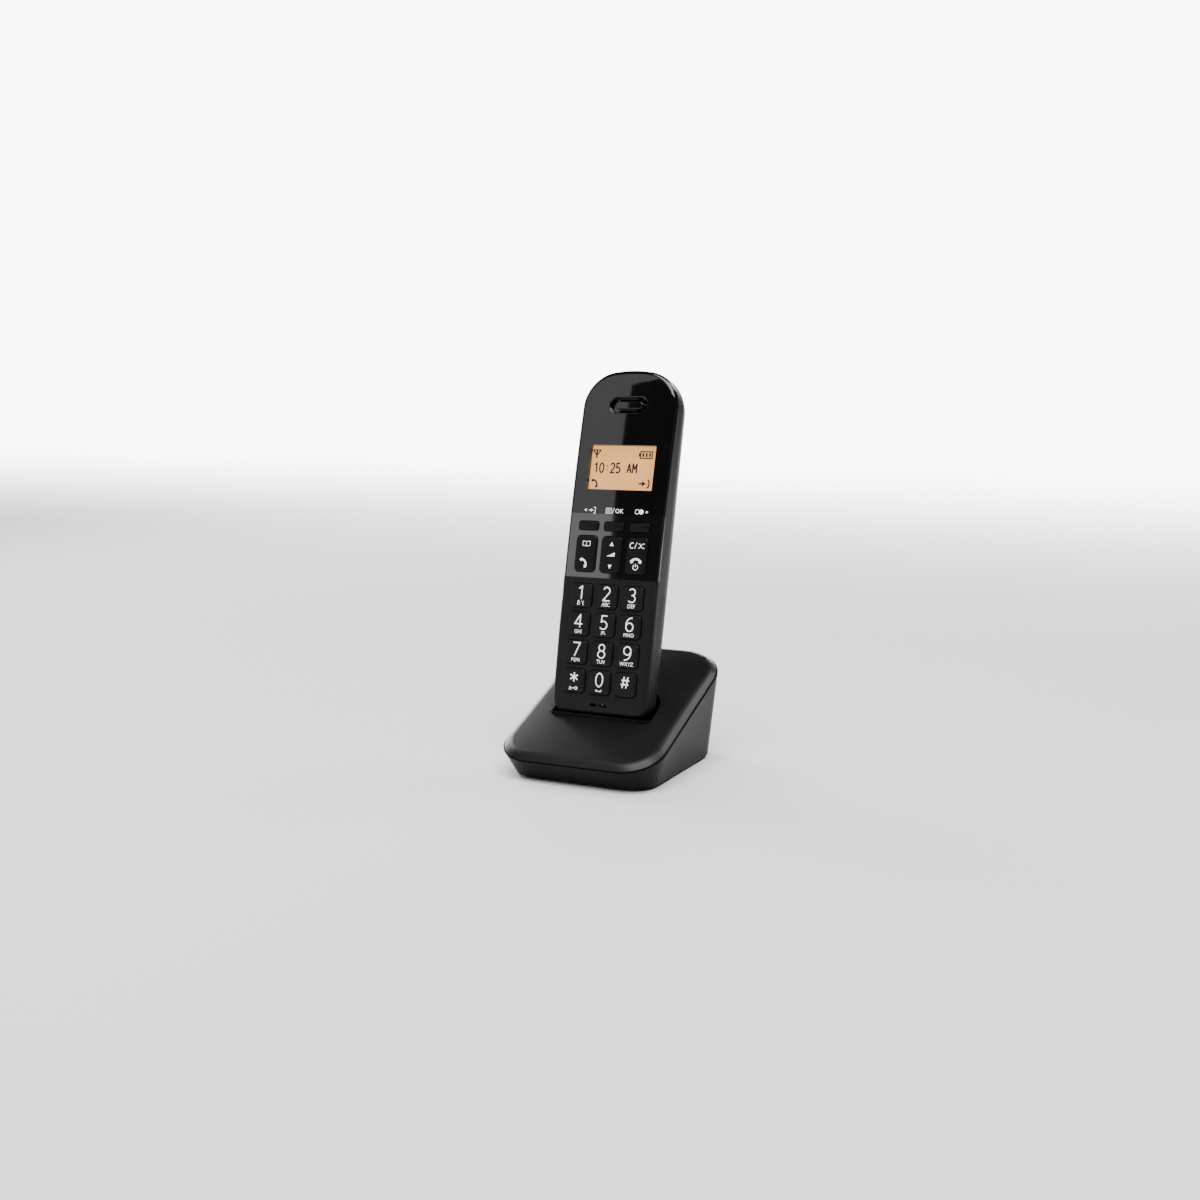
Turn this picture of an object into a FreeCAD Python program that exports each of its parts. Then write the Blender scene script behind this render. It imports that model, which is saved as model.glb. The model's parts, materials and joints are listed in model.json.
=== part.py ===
"""Cordless telephone: a handset standing in a wedge-shaped charging base.

The base rests on Z = 0, with its front towards -Y. The handset leans back in the base's pocket and lifts out
along its own length. Handset pieces are built in the handset's own frame and then leant back into place: there
X is across, Y goes from front to back and Z runs from the bottom end to the earpiece end. Sizes are millimetres.
"""

import FreeCAD
import Part

import math
import os

from FreeCAD import Placement, Rotation, Vector

# ---- Driving dimensions: handset ----
HANDSET_LENGTH = 156.8
HANDSET_HALF_WIDTH = 23.5
FRONT_BOW_RADIUS = 1100.0         # the front face bows outwards along its length
PARTING_DEPTH = 9.0               # where the front and rear cases meet
HANDSET_DEPTH = 26.0
BOTTOM_CORNER = 6.0
TOP_CORNER = 17.0
TOP_ARCH = 58.0                   # radius of the arch over the earpiece
FRONT_EDGE = 2.1                  # rounding between the front face and the sides
WALL = 1.8
PARTING_GAP = 0.1
DOME_INSET = 16.5                 # how far the rounded back draws in from the sides
DOME_TOP_SLOPE = 2.1              # the back draws in this much faster at the top end
DOME_BOTTOM_SLOPE = 1.2
PANEL_THICKNESS = 2.4             # glossy panels over the upper front
PANEL_BOTTOM = 60.8
PANEL_SPLIT = 90.1                # lens panel above, function key frame below
SEAM = 0.05

# ---- Driving dimensions: keys ----
KEY_PITCH_X = 12.6
KEY_PITCH_Z = 12.8
KEY_TOP_ROW = 52.6
DIAL_KEY = (10.6, 10.6, 2.0)      # width, height, corner radius
TALL_KEY = (10.2, 16.4, 2.0)
TALL_KEY_HEIGHT = 71.6
SOFT_KEY = (9.8, 4.0, 1.1)
SOFT_KEY_HEIGHT = 84.4
KEY_CLEARANCE = 0.3
KEY_FLANGE = 0.6
KEY_POST_END = 5.5
DIAL_KEY_PROUD = 0.9
UPPER_KEY_PROUD = 0.6
FLANGE_TOP = {DIAL_KEY: 2.4, TALL_KEY: 4.6, SOFT_KEY: 4.15}   # the tall keys rock, so theirs has more room

# ---- Driving dimensions: display, earpiece and microphone ----
WINDOW = (32.4, 20.4)
DISPLAY_HEIGHT = 111.4
EAR_HEIGHT = 140.4
EAR_SLOT = (18.2, 7.2)
EAR_BAR = (13.6, 3.4)
MIC_HEIGHT = 4.1
MIC_SLOT = (4.0, 1.5)
MIC_SLOT_X = 2.35
CAPSULE_HEIGHT = 5.0              # the microphone capsule's middle, behind its slots
CAPSULE_RADIUS = 2.25
DISPLAY_GLASS = (38.0, 26.0)
GLASS_DEPTH = (3.75, 5.4)
BACKLIGHT_DEPTH = (5.45, 7.4)
MAT_DEPTH = 6.3
BOARD_DEPTH = 7.5

# ---- Driving dimensions: battery bay ----
CELL_RADIUS = 5.25
CELL_X = 5.6
CELL_DEPTH = 11.6 + CELL_RADIUS   # depth of a cell's middle
CELL_LENGTH = 44.5
BAY_HALF_WIDTH = 11.7
BAY_LOW, BAY_HIGH = 38.0, 90.0
COVER_HALF_WIDTH = 15.0
COVER_LOW, COVER_HIGH = 30.0, 96.0
COVER_THICKNESS = 1.6
COVER_TRAVEL = 6.6                # the recess is this much longer than the cover, which slides down to open
LEDGE = 1.7                       # depth of the recess that the cover lies in

# ---- Driving dimensions: charging contacts ----
CONTACT_X = 16.1
CONTACT_THICKNESS = 1.8
CONTACT_DEPTH = (10.4, 16.6)
TERMINAL_X = (14.0, 18.2)         # slots in the handset's end for its terminals
TERMINAL_DEPTH = (8.4, 18.2)

# ---- Driving dimensions: grip ribs ----
RIB_LOW, RIB_PITCH, RIB_COUNT = 21.5, 1.15, 30
RIB_GROOVE, RIB_DEPTH = 0.55, 0.3
RIB_FRONT, RIB_BACK = 3.2, 13.5
RIB_FADE = 2.6                    # how far the upper ribs draw back from the front

# ---- Driving dimensions: base ----
BASE_HALF_WIDTH = 39.0
BASE_DEPTH = 92.0
SEAM_FRONT_HEIGHT = 9.4           # height of the case seam at the front edge
BASE_SLOPE = 22.2                 # degrees, the slope of the seam and of the top face
BASE_FRONT_CORNER, BASE_BACK_CORNER = 17.0, 22.5
BEVEL_INSET, BEVEL_HEIGHT = 3.0, 2.0
CROWN = 2.2                       # rise of the top face's middle over its edges
SEAM_HALF_GAP = 0.25              # half the shadow gap between the base's two halves
BASE_WALL = 2.1
TAPER_SIDE, TAPER_FRONT, TAPER_BACK = 5.0, 6.5, 2.0
FOOT_HEIGHT = 0.8
BASE_BOARD_TOP = 7.4

# ---- How the handset stands in the base ----
LEAN = 13.6                       # degrees back from upright
HANDSET_FOOT = Vector(0, -17.7, 26.9)   # the bottom edge of the handset's front face
POCKET_GAP = 0.3                  # between the handset's end and the pocket's floor

UP_X = Vector(1, 0, 0)
FAR = 80.0                        # past the outside of everything


def front_depth(height, below=0.0):
    """Depth of the bowed front face at a height on the handset, or of the surface this far below it."""
    radius = FRONT_BOW_RADIUS - below
    return FRONT_BOW_RADIUS - math.sqrt(radius ** 2 - (height - HANDSET_LENGTH / 2) ** 2)


def bow_angle(height):
    """Degrees that the front face is turned about X at a height on the handset."""
    return math.degrees(math.asin((height - HANDSET_LENGTH / 2) / FRONT_BOW_RADIUS))


HANDSET_PLACE = Placement(HANDSET_FOOT, Rotation(UP_X, -LEAN)).multiply(
    Placement(Vector(0, -front_depth(0), 0), Rotation()))
SEAM_PLACE = Placement(Vector(0, -BASE_DEPTH / 2, SEAM_FRONT_HEIGHT), Rotation(UP_X, BASE_SLOPE))
SEAM_LENGTH = BASE_DEPTH / math.cos(math.radians(BASE_SLOPE))


def save(name, shape, place=None):
    """Writes one node's STEP file, with its solids in the part's frame."""
    if place is not None:
        shape = shape.transformed(place.toMatrix(), True)
    solids = shape.Solids
    if not solids or not shape.isValid():
        raise ValueError(name + " isn't a valid solid")
    if len(solids) == 1:
        shape = solids[0]
    else:
        shape = Part.makeCompound(solids)
    shape.exportStep(os.path.join("parts", name + ".step"))
    print("%-22s solids %2d  volume %9.1f" % (name, len(solids), sum(s.Volume for s in solids)))


def box(x, y, z):
    """A box from three (low, high) pairs."""
    return Part.makeBox(x[1] - x[0], y[1] - y[0], z[1] - z[0], Vector(x[0], y[0], z[0]))


def cylinder(radius, length, start, direction):
    return Part.makeCylinder(radius, length, start, direction)


def joined(shapes):
    """One shape from several that touch or overlap."""
    return shapes[0].multiFuse(shapes[1:]).removeSplitter()


def arc(start, middle, end):
    return Part.Arc(start, middle, end).toShape()


def line(start, end):
    return Part.LineSegment(start, end).toShape()


# ---------------------------------------------------------------- outlines

def rounded_rectangle(width, height, corner):
    """Wire of a rounded rectangle about the origin, in the XZ plane."""
    w, h, r = width / 2, height / 2, corner
    k = r * (1 - math.sqrt(0.5))

    def p(x, z):
        return Vector(x, 0, z)

    return Part.Wire([
        line(p(-w + r, -h), p(w - r, -h)), arc(p(w - r, -h), p(w - k, -h + k), p(w, -h + r)),
        line(p(w, -h + r), p(w, h - r)), arc(p(w, h - r), p(w - k, h - k), p(w - r, h)),
        line(p(w - r, h), p(-w + r, h)), arc(p(-w + r, h), p(-w + k, h - k), p(-w, h - r)),
        line(p(-w, h - r), p(-w, -h + r)), arc(p(-w, -h + r), p(-w + k, -h + k), p(-w + r, -h))])


def slot_wire(width, height):
    """Wire of a slot with round ends about the origin, in the XZ plane."""
    w, r = width / 2 - height / 2, height / 2
    return Part.Wire([
        line(Vector(-w, 0, -r), Vector(w, 0, -r)), arc(Vector(w, 0, -r), Vector(w + r, 0, 0), Vector(w, 0, r)),
        line(Vector(w, 0, r), Vector(-w, 0, r)), arc(Vector(-w, 0, r), Vector(-w - r, 0, 0), Vector(-w, 0, -r))])


def prism(wire, depth_from, depth_to, height=0.0, x=0.0):
    """A wire in the XZ plane carried from one depth to another, at a place on the handset's face."""
    face = Part.Face(wire)
    face.translate(Vector(x, depth_from, height))
    return face.extrude(Vector(0, depth_to - depth_from, 0))


def handset_outline(depth, inset=0.0, top_drop=0.0, bottom_rise=0.0):
    """The handset's outline from the front at one depth: straight sides, round lower corners and an arched top."""
    w = HANDSET_HALF_WIDTH - inset
    share = w / HANDSET_HALF_WIDTH
    low, high = bottom_rise, HANDSET_LENGTH - top_drop
    rb, rt, arch = BOTTOM_CORNER * share, TOP_CORNER * share, TOP_ARCH * share
    arch_centre = high - arch
    corner_x = w - rt
    corner_z = arch_centre + math.sqrt((arch - rt) ** 2 - corner_x ** 2)
    lean = math.atan2(corner_x, corner_z - arch_centre)
    touch = (arch * math.sin(lean), arch_centre + arch * math.cos(lean))
    half = (math.pi / 2 - lean) / 2
    corner_mid = (corner_x + rt * math.cos(half), corner_z + rt * math.sin(half))
    k = rb * (1 - math.sqrt(0.5))

    def p(x, z):
        return Vector(x, depth, z)

    return Part.Wire([
        line(p(-w + rb, low), p(w - rb, low)),
        arc(p(w - rb, low), p(w - k, low + k), p(w, low + rb)),
        line(p(w, low + rb), p(w, corner_z)),
        arc(p(w, corner_z), p(*corner_mid), p(*touch)),
        arc(p(*touch), p(0, high), p(-touch[0], touch[1])),
        arc(p(-touch[0], touch[1]), p(-corner_mid[0], corner_mid[1]), p(-w, corner_z)),
        line(p(-w, corner_z), p(-w, low + rb)),
        arc(p(-w, low + rb), p(-w + k, low + k), p(-w + rb, low))])


def bowed(below=0.0):
    """The solid behind the bowed front face, or behind the surface this far below it."""
    start = Vector(-FAR / 2, FRONT_BOW_RADIUS, HANDSET_LENGTH / 2)
    return cylinder(FRONT_BOW_RADIUS - below, FAR, start, UP_X)


def dome(thickness=0.0):
    """The rounded back of the handset, or the form this far inside it. The profile is a quarter ellipse."""
    steps = 7
    depth = HANDSET_DEPTH - PARTING_DEPTH
    wires = []
    for i in range(steps + 1):
        turn = math.radians(80.0 * i / steps)
        reach = math.sin(turn)
        inset = DOME_INSET * (1 - math.cos(turn))
        start = PARTING_DEPTH + PARTING_GAP if i == 0 and not thickness else PARTING_DEPTH
        wires.append(handset_outline(
            start + (depth - thickness) * reach * 1.0154 - (0.5 if i == 0 and thickness else 0.0),
            inset + thickness,
            DOME_TOP_SLOPE * inset + thickness,
            DOME_BOTTOM_SLOPE * inset + thickness))
    return Part.makeLoft(wires, True, False)


def plan_wire(half_width, front, back, front_corner, back_corner):
    """Wire of the base's plan, in the XY plane: a rectangle with smaller front corners and larger back ones."""
    def p(x, y):
        return Vector(x, y, 0)

    w, rf, rb = half_width, front_corner, back_corner
    kf, kb = rf * (1 - math.sqrt(0.5)), rb * (1 - math.sqrt(0.5))
    return Part.Wire([
        line(p(-w + rf, front), p(w - rf, front)),
        arc(p(w - rf, front), p(w - kf, front + kf), p(w, front + rf)),
        line(p(w, front + rf), p(w, back - rb)),
        arc(p(w, back - rb), p(w - kb, back - kb), p(w - rb, back)),
        line(p(w - rb, back), p(-w + rb, back)),
        arc(p(-w + rb, back), p(-w + kb, back - kb), p(-w, back - rb)),
        line(p(-w, back - rb), p(-w, front + rf)),
        arc(p(-w, front + rf), p(-w + kf, front + kf), p(-w + rf, front))])


def seam_wire(inset, above):
    """The base's outline on the sloping seam plane, drawn in and raised square to that plane."""
    wire = plan_wire(BASE_HALF_WIDTH - inset, inset, SEAM_LENGTH - inset,
                     BASE_FRONT_CORNER - inset * 0.8, BASE_BACK_CORNER - inset * 0.8)
    wire.translate(Vector(0, 0, above))
    return wire.transformed(SEAM_PLACE.toMatrix())


def foot_wire(inset, height):
    """The base's outline where it meets the table, drawn in."""
    half = BASE_DEPTH / 2
    wire = plan_wire(BASE_HALF_WIDTH - TAPER_SIDE - inset, -half + TAPER_FRONT + inset, half - TAPER_BACK - inset,
                     BASE_FRONT_CORNER - 5.0 - inset * 0.8, BASE_BACK_CORNER - 5.0 - inset * 0.8)
    wire.translate(Vector(0, 0, height))
    return wire


def crown_solid(lower=0.0):
    """Everything under the base's gently crowned top face, or under the surface this far below it."""
    half_w, half_l, steps = BASE_HALF_WIDTH, SEAM_LENGTH / 2, 8
    rows = []
    for i in range(steps + 1):
        u = -1 + 2 * i / steps
        row = []
        for j in range(steps + 1):
            v = -1 + 2 * j / steps
            rise = CROWN * (1 - abs(u) ** 2.5) * (1 - abs(v) ** 2.5)
            row.append(Vector(u * (half_w + 1), half_l + v * (half_l + 1), BEVEL_HEIGHT + rise - lower))
        rows.append(row)
    surface = Part.BSplineSurface()
    surface.interpolate(rows)
    solid = surface.toShape().extrude(Vector(0, 0, -FAR))
    return solid.transformed(SEAM_PLACE.toMatrix())


def pocket_wire(grow, height):
    """Outline of the pocket that the handset stands in, across the handset's length, at a height on it."""
    w, front, back = HANDSET_HALF_WIDTH + 0.9 + grow, front_depth(0) - 0.5 - grow, HANDSET_DEPTH + 0.9 + grow
    wire = plan_wire(w, front, back, 3.0 + grow, 15.0 + grow)
    wire.translate(Vector(0, 0, height))
    return wire


def pocket(grow=0.0, floor=-POCKET_GAP):
    """The pocket's hollow, or that hollow grown by a wall, in the handset's frame."""
    return Part.Face(pocket_wire(grow, floor)).extrude(Vector(0, 0, FAR))


# ---------------------------------------------------------------- keys

def key_places():
    """Every key's name, middle on the face (x, height) and size."""
    dial = ["key_1", "key_2", "key_3", "key_4", "key_5", "key_6", "key_7", "key_8", "key_9",
            "key_star", "key_0", "key_hash"]
    places = []
    for i, name in enumerate(dial):
        row, column = divmod(i, 3)
        places.append((name, (column - 1) * KEY_PITCH_X, KEY_TOP_ROW - row * KEY_PITCH_Z, DIAL_KEY))
    for column, name in enumerate(["talk_key", "volume_key", "end_key"]):
        places.append((name, (column - 1) * KEY_PITCH_X, TALL_KEY_HEIGHT, TALL_KEY))
    for column, name in enumerate(["soft_key_left", "soft_key_middle", "soft_key_right"]):
        places.append((name, (column - 1) * KEY_PITCH_X, SOFT_KEY_HEIGHT, SOFT_KEY))
    return places


def on_face(shape, x, height):
    """Moves a shape made about the origin to a place on the bowed front face, square to it."""
    place = Placement(Vector(x, front_depth(height), height), Rotation(UP_X, -bow_angle(height)))
    return shape.transformed(place.toMatrix())


def make_key(name, x, height, size):
    """A key: a cap that stands proud, a flange that keeps it in, and a post over its dome."""
    width, tall, corner = size
    proud = DIAL_KEY_PROUD if size == DIAL_KEY else UPPER_KEY_PROUD
    flange_top = FLANGE_TOP[size]
    cap = prism(rounded_rectangle(width, tall, corner), -proud, flange_top)
    front_edges = [e for e in cap.Edges if max(v.Y for v in e.Vertexes) < -proud + 0.01]
    cap = cap.makeFillet(0.45, front_edges)
    flange = prism(rounded_rectangle(width + 2 * KEY_FLANGE, tall + 2 * KEY_FLANGE, corner + 0.3),
                   flange_top, flange_top + 0.6)
    post_end = KEY_POST_END - front_depth(height)
    parts = [cap, flange]
    offsets = (-5.0, 5.0) if size == TALL_KEY else (0.0,)
    for offset in offsets:
        parts.append(cylinder(1.5, post_end - flange_top, Vector(0, flange_top, offset), Vector(0, 1, 0)))
    save(name, on_face(joined(parts), x, height), HANDSET_PLACE)


def key_holes(extra=KEY_CLEARANCE, depth_from=-3.0, depth_to=4.1):
    """The holes that the keys come through, as one group of cutters."""
    cutters = []
    for _, x, height, (width, tall, corner) in key_places():
        wire = rounded_rectangle(width + 2 * extra, tall + 2 * extra, corner + extra)
        cutters.append(on_face(prism(wire, depth_from, depth_to), x, height))
    return cutters


# ---------------------------------------------------------------- handset cases

def front_form():
    """The front half's outside: the outline carried to the bowed face, with its edge rounded."""
    block = Part.Face(handset_outline(PARTING_DEPTH)).extrude(Vector(0, -PARTING_DEPTH - 2, 0))
    form = block.common(bowed())
    faces = [f for f in form.Faces if isinstance(f.Surface, Part.Cylinder) and f.Surface.Radius > 500]
    return form.makeFillet(FRONT_EDGE, faces[0].OuterWire.Edges)


def grip_ribs():
    """Cutters for the fine grooves on both sides, where fingers hold the handset."""
    cutters = []
    for i in range(RIB_COUNT):
        low = RIB_LOW + i * RIB_PITCH
        reach = RIB_FRONT + RIB_FADE * max(0.0, (i - RIB_COUNT * 0.6) / (RIB_COUNT * 0.4))
        for side in (-1, 1):
            x = sorted((side * (HANDSET_HALF_WIDTH - RIB_DEPTH), side * (HANDSET_HALF_WIDTH + 1)))
            cutters.append(box(x, (reach, RIB_BACK), (low, low + RIB_GROOVE)))
    return cutters


def screw_bosses():
    """Places of the three case screws as (x, height), and the depth that each head seats at."""
    return [(-9.5, 5.6, 15.0), (9.5, 5.6, 15.0), (0.0, 93.4, 20.0)]


def terminal_slot(side):
    """The opening in the handset's lower end over one charging terminal."""
    return box(sorted((side * TERMINAL_X[0], side * TERMINAL_X[1])), TERMINAL_DEPTH, (-1, 2.5))


def front_case(form):
    """The front half's case: the lower face, both sides, and a ledge under the glossy panels."""
    upper = box((-FAR, FAR), (-9, 30), (PANEL_BOTTOM - SEAM, HANDSET_LENGTH + 9)).cut(bowed(PANEL_THICKNESS + SEAM))
    case = form.cut(upper)
    inner = Part.Face(handset_outline(PARTING_DEPTH + 1, WALL, WALL, WALL)).extrude(Vector(0, -20, 0))
    split = PANEL_BOTTOM - 1.5
    low = inner.common(bowed(2.2)).common(box((-FAR, FAR), (-9, 30), (-9, split)))
    high = inner.common(bowed(4.0)).common(box((-FAR, FAR), (-9, 30), (split, HANDSET_LENGTH)))
    case = case.cut(low.fuse(high))
    bosses = []
    for x, height, _ in screw_bosses():
        start = 2.0 if height < PANEL_BOTTOM else 3.2
        tube = cylinder(2.1, 12, Vector(x, front_depth(height) + start, height), Vector(0, 1, 0))
        bosses.append(tube.common(box((-FAR, FAR), (-9, 7.3), (-9, FAR * 2))))
    case = joined([case] + bosses)
    cutters = key_holes() + grip_ribs()
    cutters.append(prism(rounded_rectangle(38.6, 26.6, 1.0), 2.0, 8.0, DISPLAY_HEIGHT))
    cutters.append(on_face(prism(slot_wire(EAR_SLOT[0] + 3.0, EAR_SLOT[1] + 3.0), 1.5, 6.0), 0, EAR_HEIGHT))
    for side in (-1, 1):
        cutters.append(on_face(prism(slot_wire(*MIC_SLOT), -2, 4), side * MIC_SLOT_X, MIC_HEIGHT))
        cutters.append(terminal_slot(side))
    for x, height, _ in screw_bosses():
        cutters.append(cylinder(0.9, 6.0, Vector(x, 2.7 + front_depth(height), height), Vector(0, 1, 0)))
    return case.cut(cutters)


def glossy_panels(form):
    """The two glossy pieces over the upper front: the lens panel, and the frame around the function keys."""
    skin = form.cut(bowed(PANEL_THICKNESS))
    lens = skin.common(box((-FAR, FAR), (-9, 30), (PANEL_SPLIT + SEAM, HANDSET_LENGTH + 9)))
    frame = skin.common(box((-FAR, FAR), (-9, 30), (PANEL_BOTTOM + SEAM, PANEL_SPLIT - SEAM)))
    lens = lens.cut([
        prism(rounded_rectangle(WINDOW[0] + 0.1, WINDOW[1] + 0.1, 0.55), -3, 9, DISPLAY_HEIGHT),
        on_face(prism(slot_wire(*EAR_SLOT), -3, 6), 0, EAR_HEIGHT)])
    ear_rim = []
    for edge in lens.Edges:
        middle = edge.valueAt((edge.FirstParameter + edge.LastParameter) / 2)
        on_front = abs(middle.y - front_depth(middle.z)) < 0.02
        if on_front and abs(middle.z - EAR_HEIGHT) < EAR_SLOT[1] and abs(middle.x) < EAR_SLOT[0]:
            ear_rim.append(edge)
    lens = lens.makeFillet(0.5, ear_rim)
    frame = frame.cut(key_holes())
    window = prism(rounded_rectangle(WINDOW[0], WINDOW[1], 0.5), -3, 1.6, DISPLAY_HEIGHT).common(bowed())
    return lens, frame, window.cut(bowed(1.5))


def earpiece_grille():
    """The piece behind the earpiece slot: a floor with two sound slots, and the bar that stands in the middle."""
    floor = prism(slot_wire(EAR_SLOT[0] + 2.4, EAR_SLOT[1] + 2.4), PANEL_THICKNESS + 0.1, 3.6)
    bar = prism(slot_wire(*EAR_BAR), 0.35, 3.0)
    rim = [e for e in bar.Edges if max(v.Y for v in e.Vertexes) < 0.36]
    bar = bar.makeFillet(0.4, rim)
    sound = [prism(slot_wire(11.0, 0.9), 1.0, 4.0, side * 2.6) for side in (-1, 1)]
    return on_face(floor.fuse(bar).cut(sound), 0, EAR_HEIGHT)


def cover_region(half_width, low, high):
    """The part of the back that the battery cover takes, as a straight-sided block."""
    return box((-half_width, half_width), (14, 40), (low, high))


def rear_case():
    """The rear half: a rounded shell, the recess and ledge under the battery cover, and the cell bay."""
    outside, inside = dome(), dome(WALL)
    shell = outside.cut(inside)
    recess = cover_region(COVER_HALF_WIDTH + 0.2, COVER_LOW - COVER_TRAVEL, COVER_HIGH + 0.2)
    ledge = dome(LEDGE).cut(dome(LEDGE + 1.5)).common(
        cover_region(COVER_HALF_WIDTH + 1.9, COVER_LOW - COVER_TRAVEL - 1.7, COVER_HIGH + 1.9))
    bay_outside = box((-BAY_HALF_WIDTH - 1.2, BAY_HALF_WIDTH + 1.2), (10.2, 40), (BAY_LOW - 1.2, BAY_HIGH + 1.2))
    parts = [shell.cut(recess), ledge, bay_outside.common(dome(LEDGE))]
    for x, height, _ in screw_bosses():
        boss = cylinder(3.1, 22, Vector(x, PARTING_DEPTH + 0.6, height), Vector(0, 1, 0))
        parts.append(boss.common(dome(LEDGE)))
    case = joined(parts)
    cutters = [box((-BAY_HALF_WIDTH, BAY_HALF_WIDTH), (11.4, 40), (BAY_LOW, BAY_HIGH))]
    cutters += grip_ribs()
    cutters += [cover_tongue(side, 0.25) for side in (-1, 1)]
    for x, height, seat in screw_bosses():
        cutters.append(cylinder(1.1, 30, Vector(x, 5, height), Vector(0, 1, 0)))
        cutters.append(cylinder(2.1, 30, Vector(x, seat, height), Vector(0, 1, 0)))
    for i in range(5):
        cutters.append(prism(slot_wire(14.0 - 2.4 * abs(i - 2), 1.2), 20, 40, 107.2 + i * 2.4))
    cutters += [terminal_slot(side) for side in (-1, 1)]
    return case.cut(cutters)


def cover_tongue(side, grow=0.0):
    """A tongue on the cover's upper end, which goes under the case, or the slot for it."""
    x = sorted((side * (5.0 - grow), side * (9.0 + grow)))
    return box(x, (24.55 - grow, 25.2 + grow), (COVER_HIGH - 1.5, COVER_HIGH + 1.9 + grow))


def battery_cover():
    """The cover over the cells: a piece of the rounded back with a thumb notch at its upper end."""
    cover = dome().cut(dome(COVER_THICKNESS)).common(cover_region(COVER_HALF_WIDTH, COVER_LOW, COVER_HIGH))
    notch = Part.makeSphere(9.0, Vector(0, HANDSET_DEPTH + 8.0, COVER_HIGH - 8.0))
    grooves = [box((-4.0, 4.0), (HANDSET_DEPTH - 0.9, 40), (low, low + 0.6)) for low in (84.6, 86.2, 87.8, 89.4)]
    cover = cover.cut([notch] + grooves)
    return joined([cover] + [cover_tongue(side) for side in (-1, 1)])


# ---------------------------------------------------------------- handset insides

def keypad_mat():
    """The rubber sheet behind the keys."""
    return box((-18.0, 18.0), (MAT_DEPTH, MAT_DEPTH + 0.5), (9.6, 88.6))


def key_domes():
    """One snap dome per dial and soft key and two per tall key, in a thin gap in front of the board."""
    domes = []
    for _, x, height, size in key_places():
        for offset in ((-5.0, 5.0) if size == TALL_KEY else (0.0,)):
            ball = Part.makeSphere(11.0, Vector(x, BOARD_DEPTH + 10.4, height + offset))
            domes.append(ball.common(box((-FAR, FAR), (BOARD_DEPTH - 2, BOARD_DEPTH - 0.05), (-9, FAR * 2))))
    return Part.makeCompound(domes)


def handset_board():
    """The main circuit board, from the microphone to the display, with holes for the case screws."""
    board = box((-18.4, 18.4), (BOARD_DEPTH, BOARD_DEPTH + 1.0), (2.4, 129.0))
    chips = [((-15, -7), (8.5, 9.4), (10, 20)), ((2, 14), (8.5, 9.5), (12, 24)), ((-12, -4), (8.5, 9.2), (24, 32))]
    board = joined([board] + [box(*c) for c in chips])
    holes = [cylinder(1.4, 5, Vector(x, 6, height), Vector(0, 1, 0)) for x, height, _ in screw_bosses()]
    return board.cut(holes)


def battery_springs():
    """A coil spring at the lower end of each cell bay."""
    springs = []
    for side in (-1, 1):
        helix = Part.makeHelix(1.1, 3.3, 3.0)
        section = Part.Wire(Part.Circle(Vector(3.0, 0, 0), Vector(0, 1, 0), 0.25).toShape())
        coil = Part.Wire(helix.Edges).makePipeShell([section], True, True)
        coil.translate(Vector(side * CELL_X, CELL_DEPTH, BAY_LOW + 0.4))
        springs.append(coil)
    return Part.makeCompound(springs)


def rod(radius, depth_from, depth_to, height=0.0):
    """A round piece that runs from one depth to another at a height on the handset's middle line."""
    return cylinder(radius, depth_to - depth_from, Vector(0, depth_from, height), Vector(0, 1, 0))


def display_block(grow, depths):
    """A block behind the display window, the size of the glass grown all round."""
    half_width, half_height = DISPLAY_GLASS[0] / 2 + grow, DISPLAY_GLASS[1] / 2 + grow
    return box((-half_width, half_width), depths, (DISPLAY_HEIGHT - half_height, DISPLAY_HEIGHT + half_height))


def microphone_boot():
    """The rubber cup that holds the microphone capsule behind its slots."""
    cup = rod(CAPSULE_RADIUS + 0.65, 5.45, 7.35, CAPSULE_HEIGHT)
    return cup.cut([rod(CAPSULE_RADIUS + 0.05, 6.1, 9.1, CAPSULE_HEIGHT), rod(0.8, 5, 8, CAPSULE_HEIGHT)])


def battery_terminals():
    """A flat plate at the upper end of each cell."""
    height = (BAY_HIGH - 0.45, BAY_HIGH - 0.1)
    return Part.makeCompound([box((x - 4, x + 4), (12.5, 21.0), height) for x in (-CELL_X, CELL_X)])


def handset_screws():
    """The three screws that hold the case together."""
    forward = Vector(0, -1, 0)
    return Part.makeCompound([
        screw(Vector(x, seat, height), forward, 1.9, 1.3, 0.85, 9.0) for x, height, seat in screw_bosses()])


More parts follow.
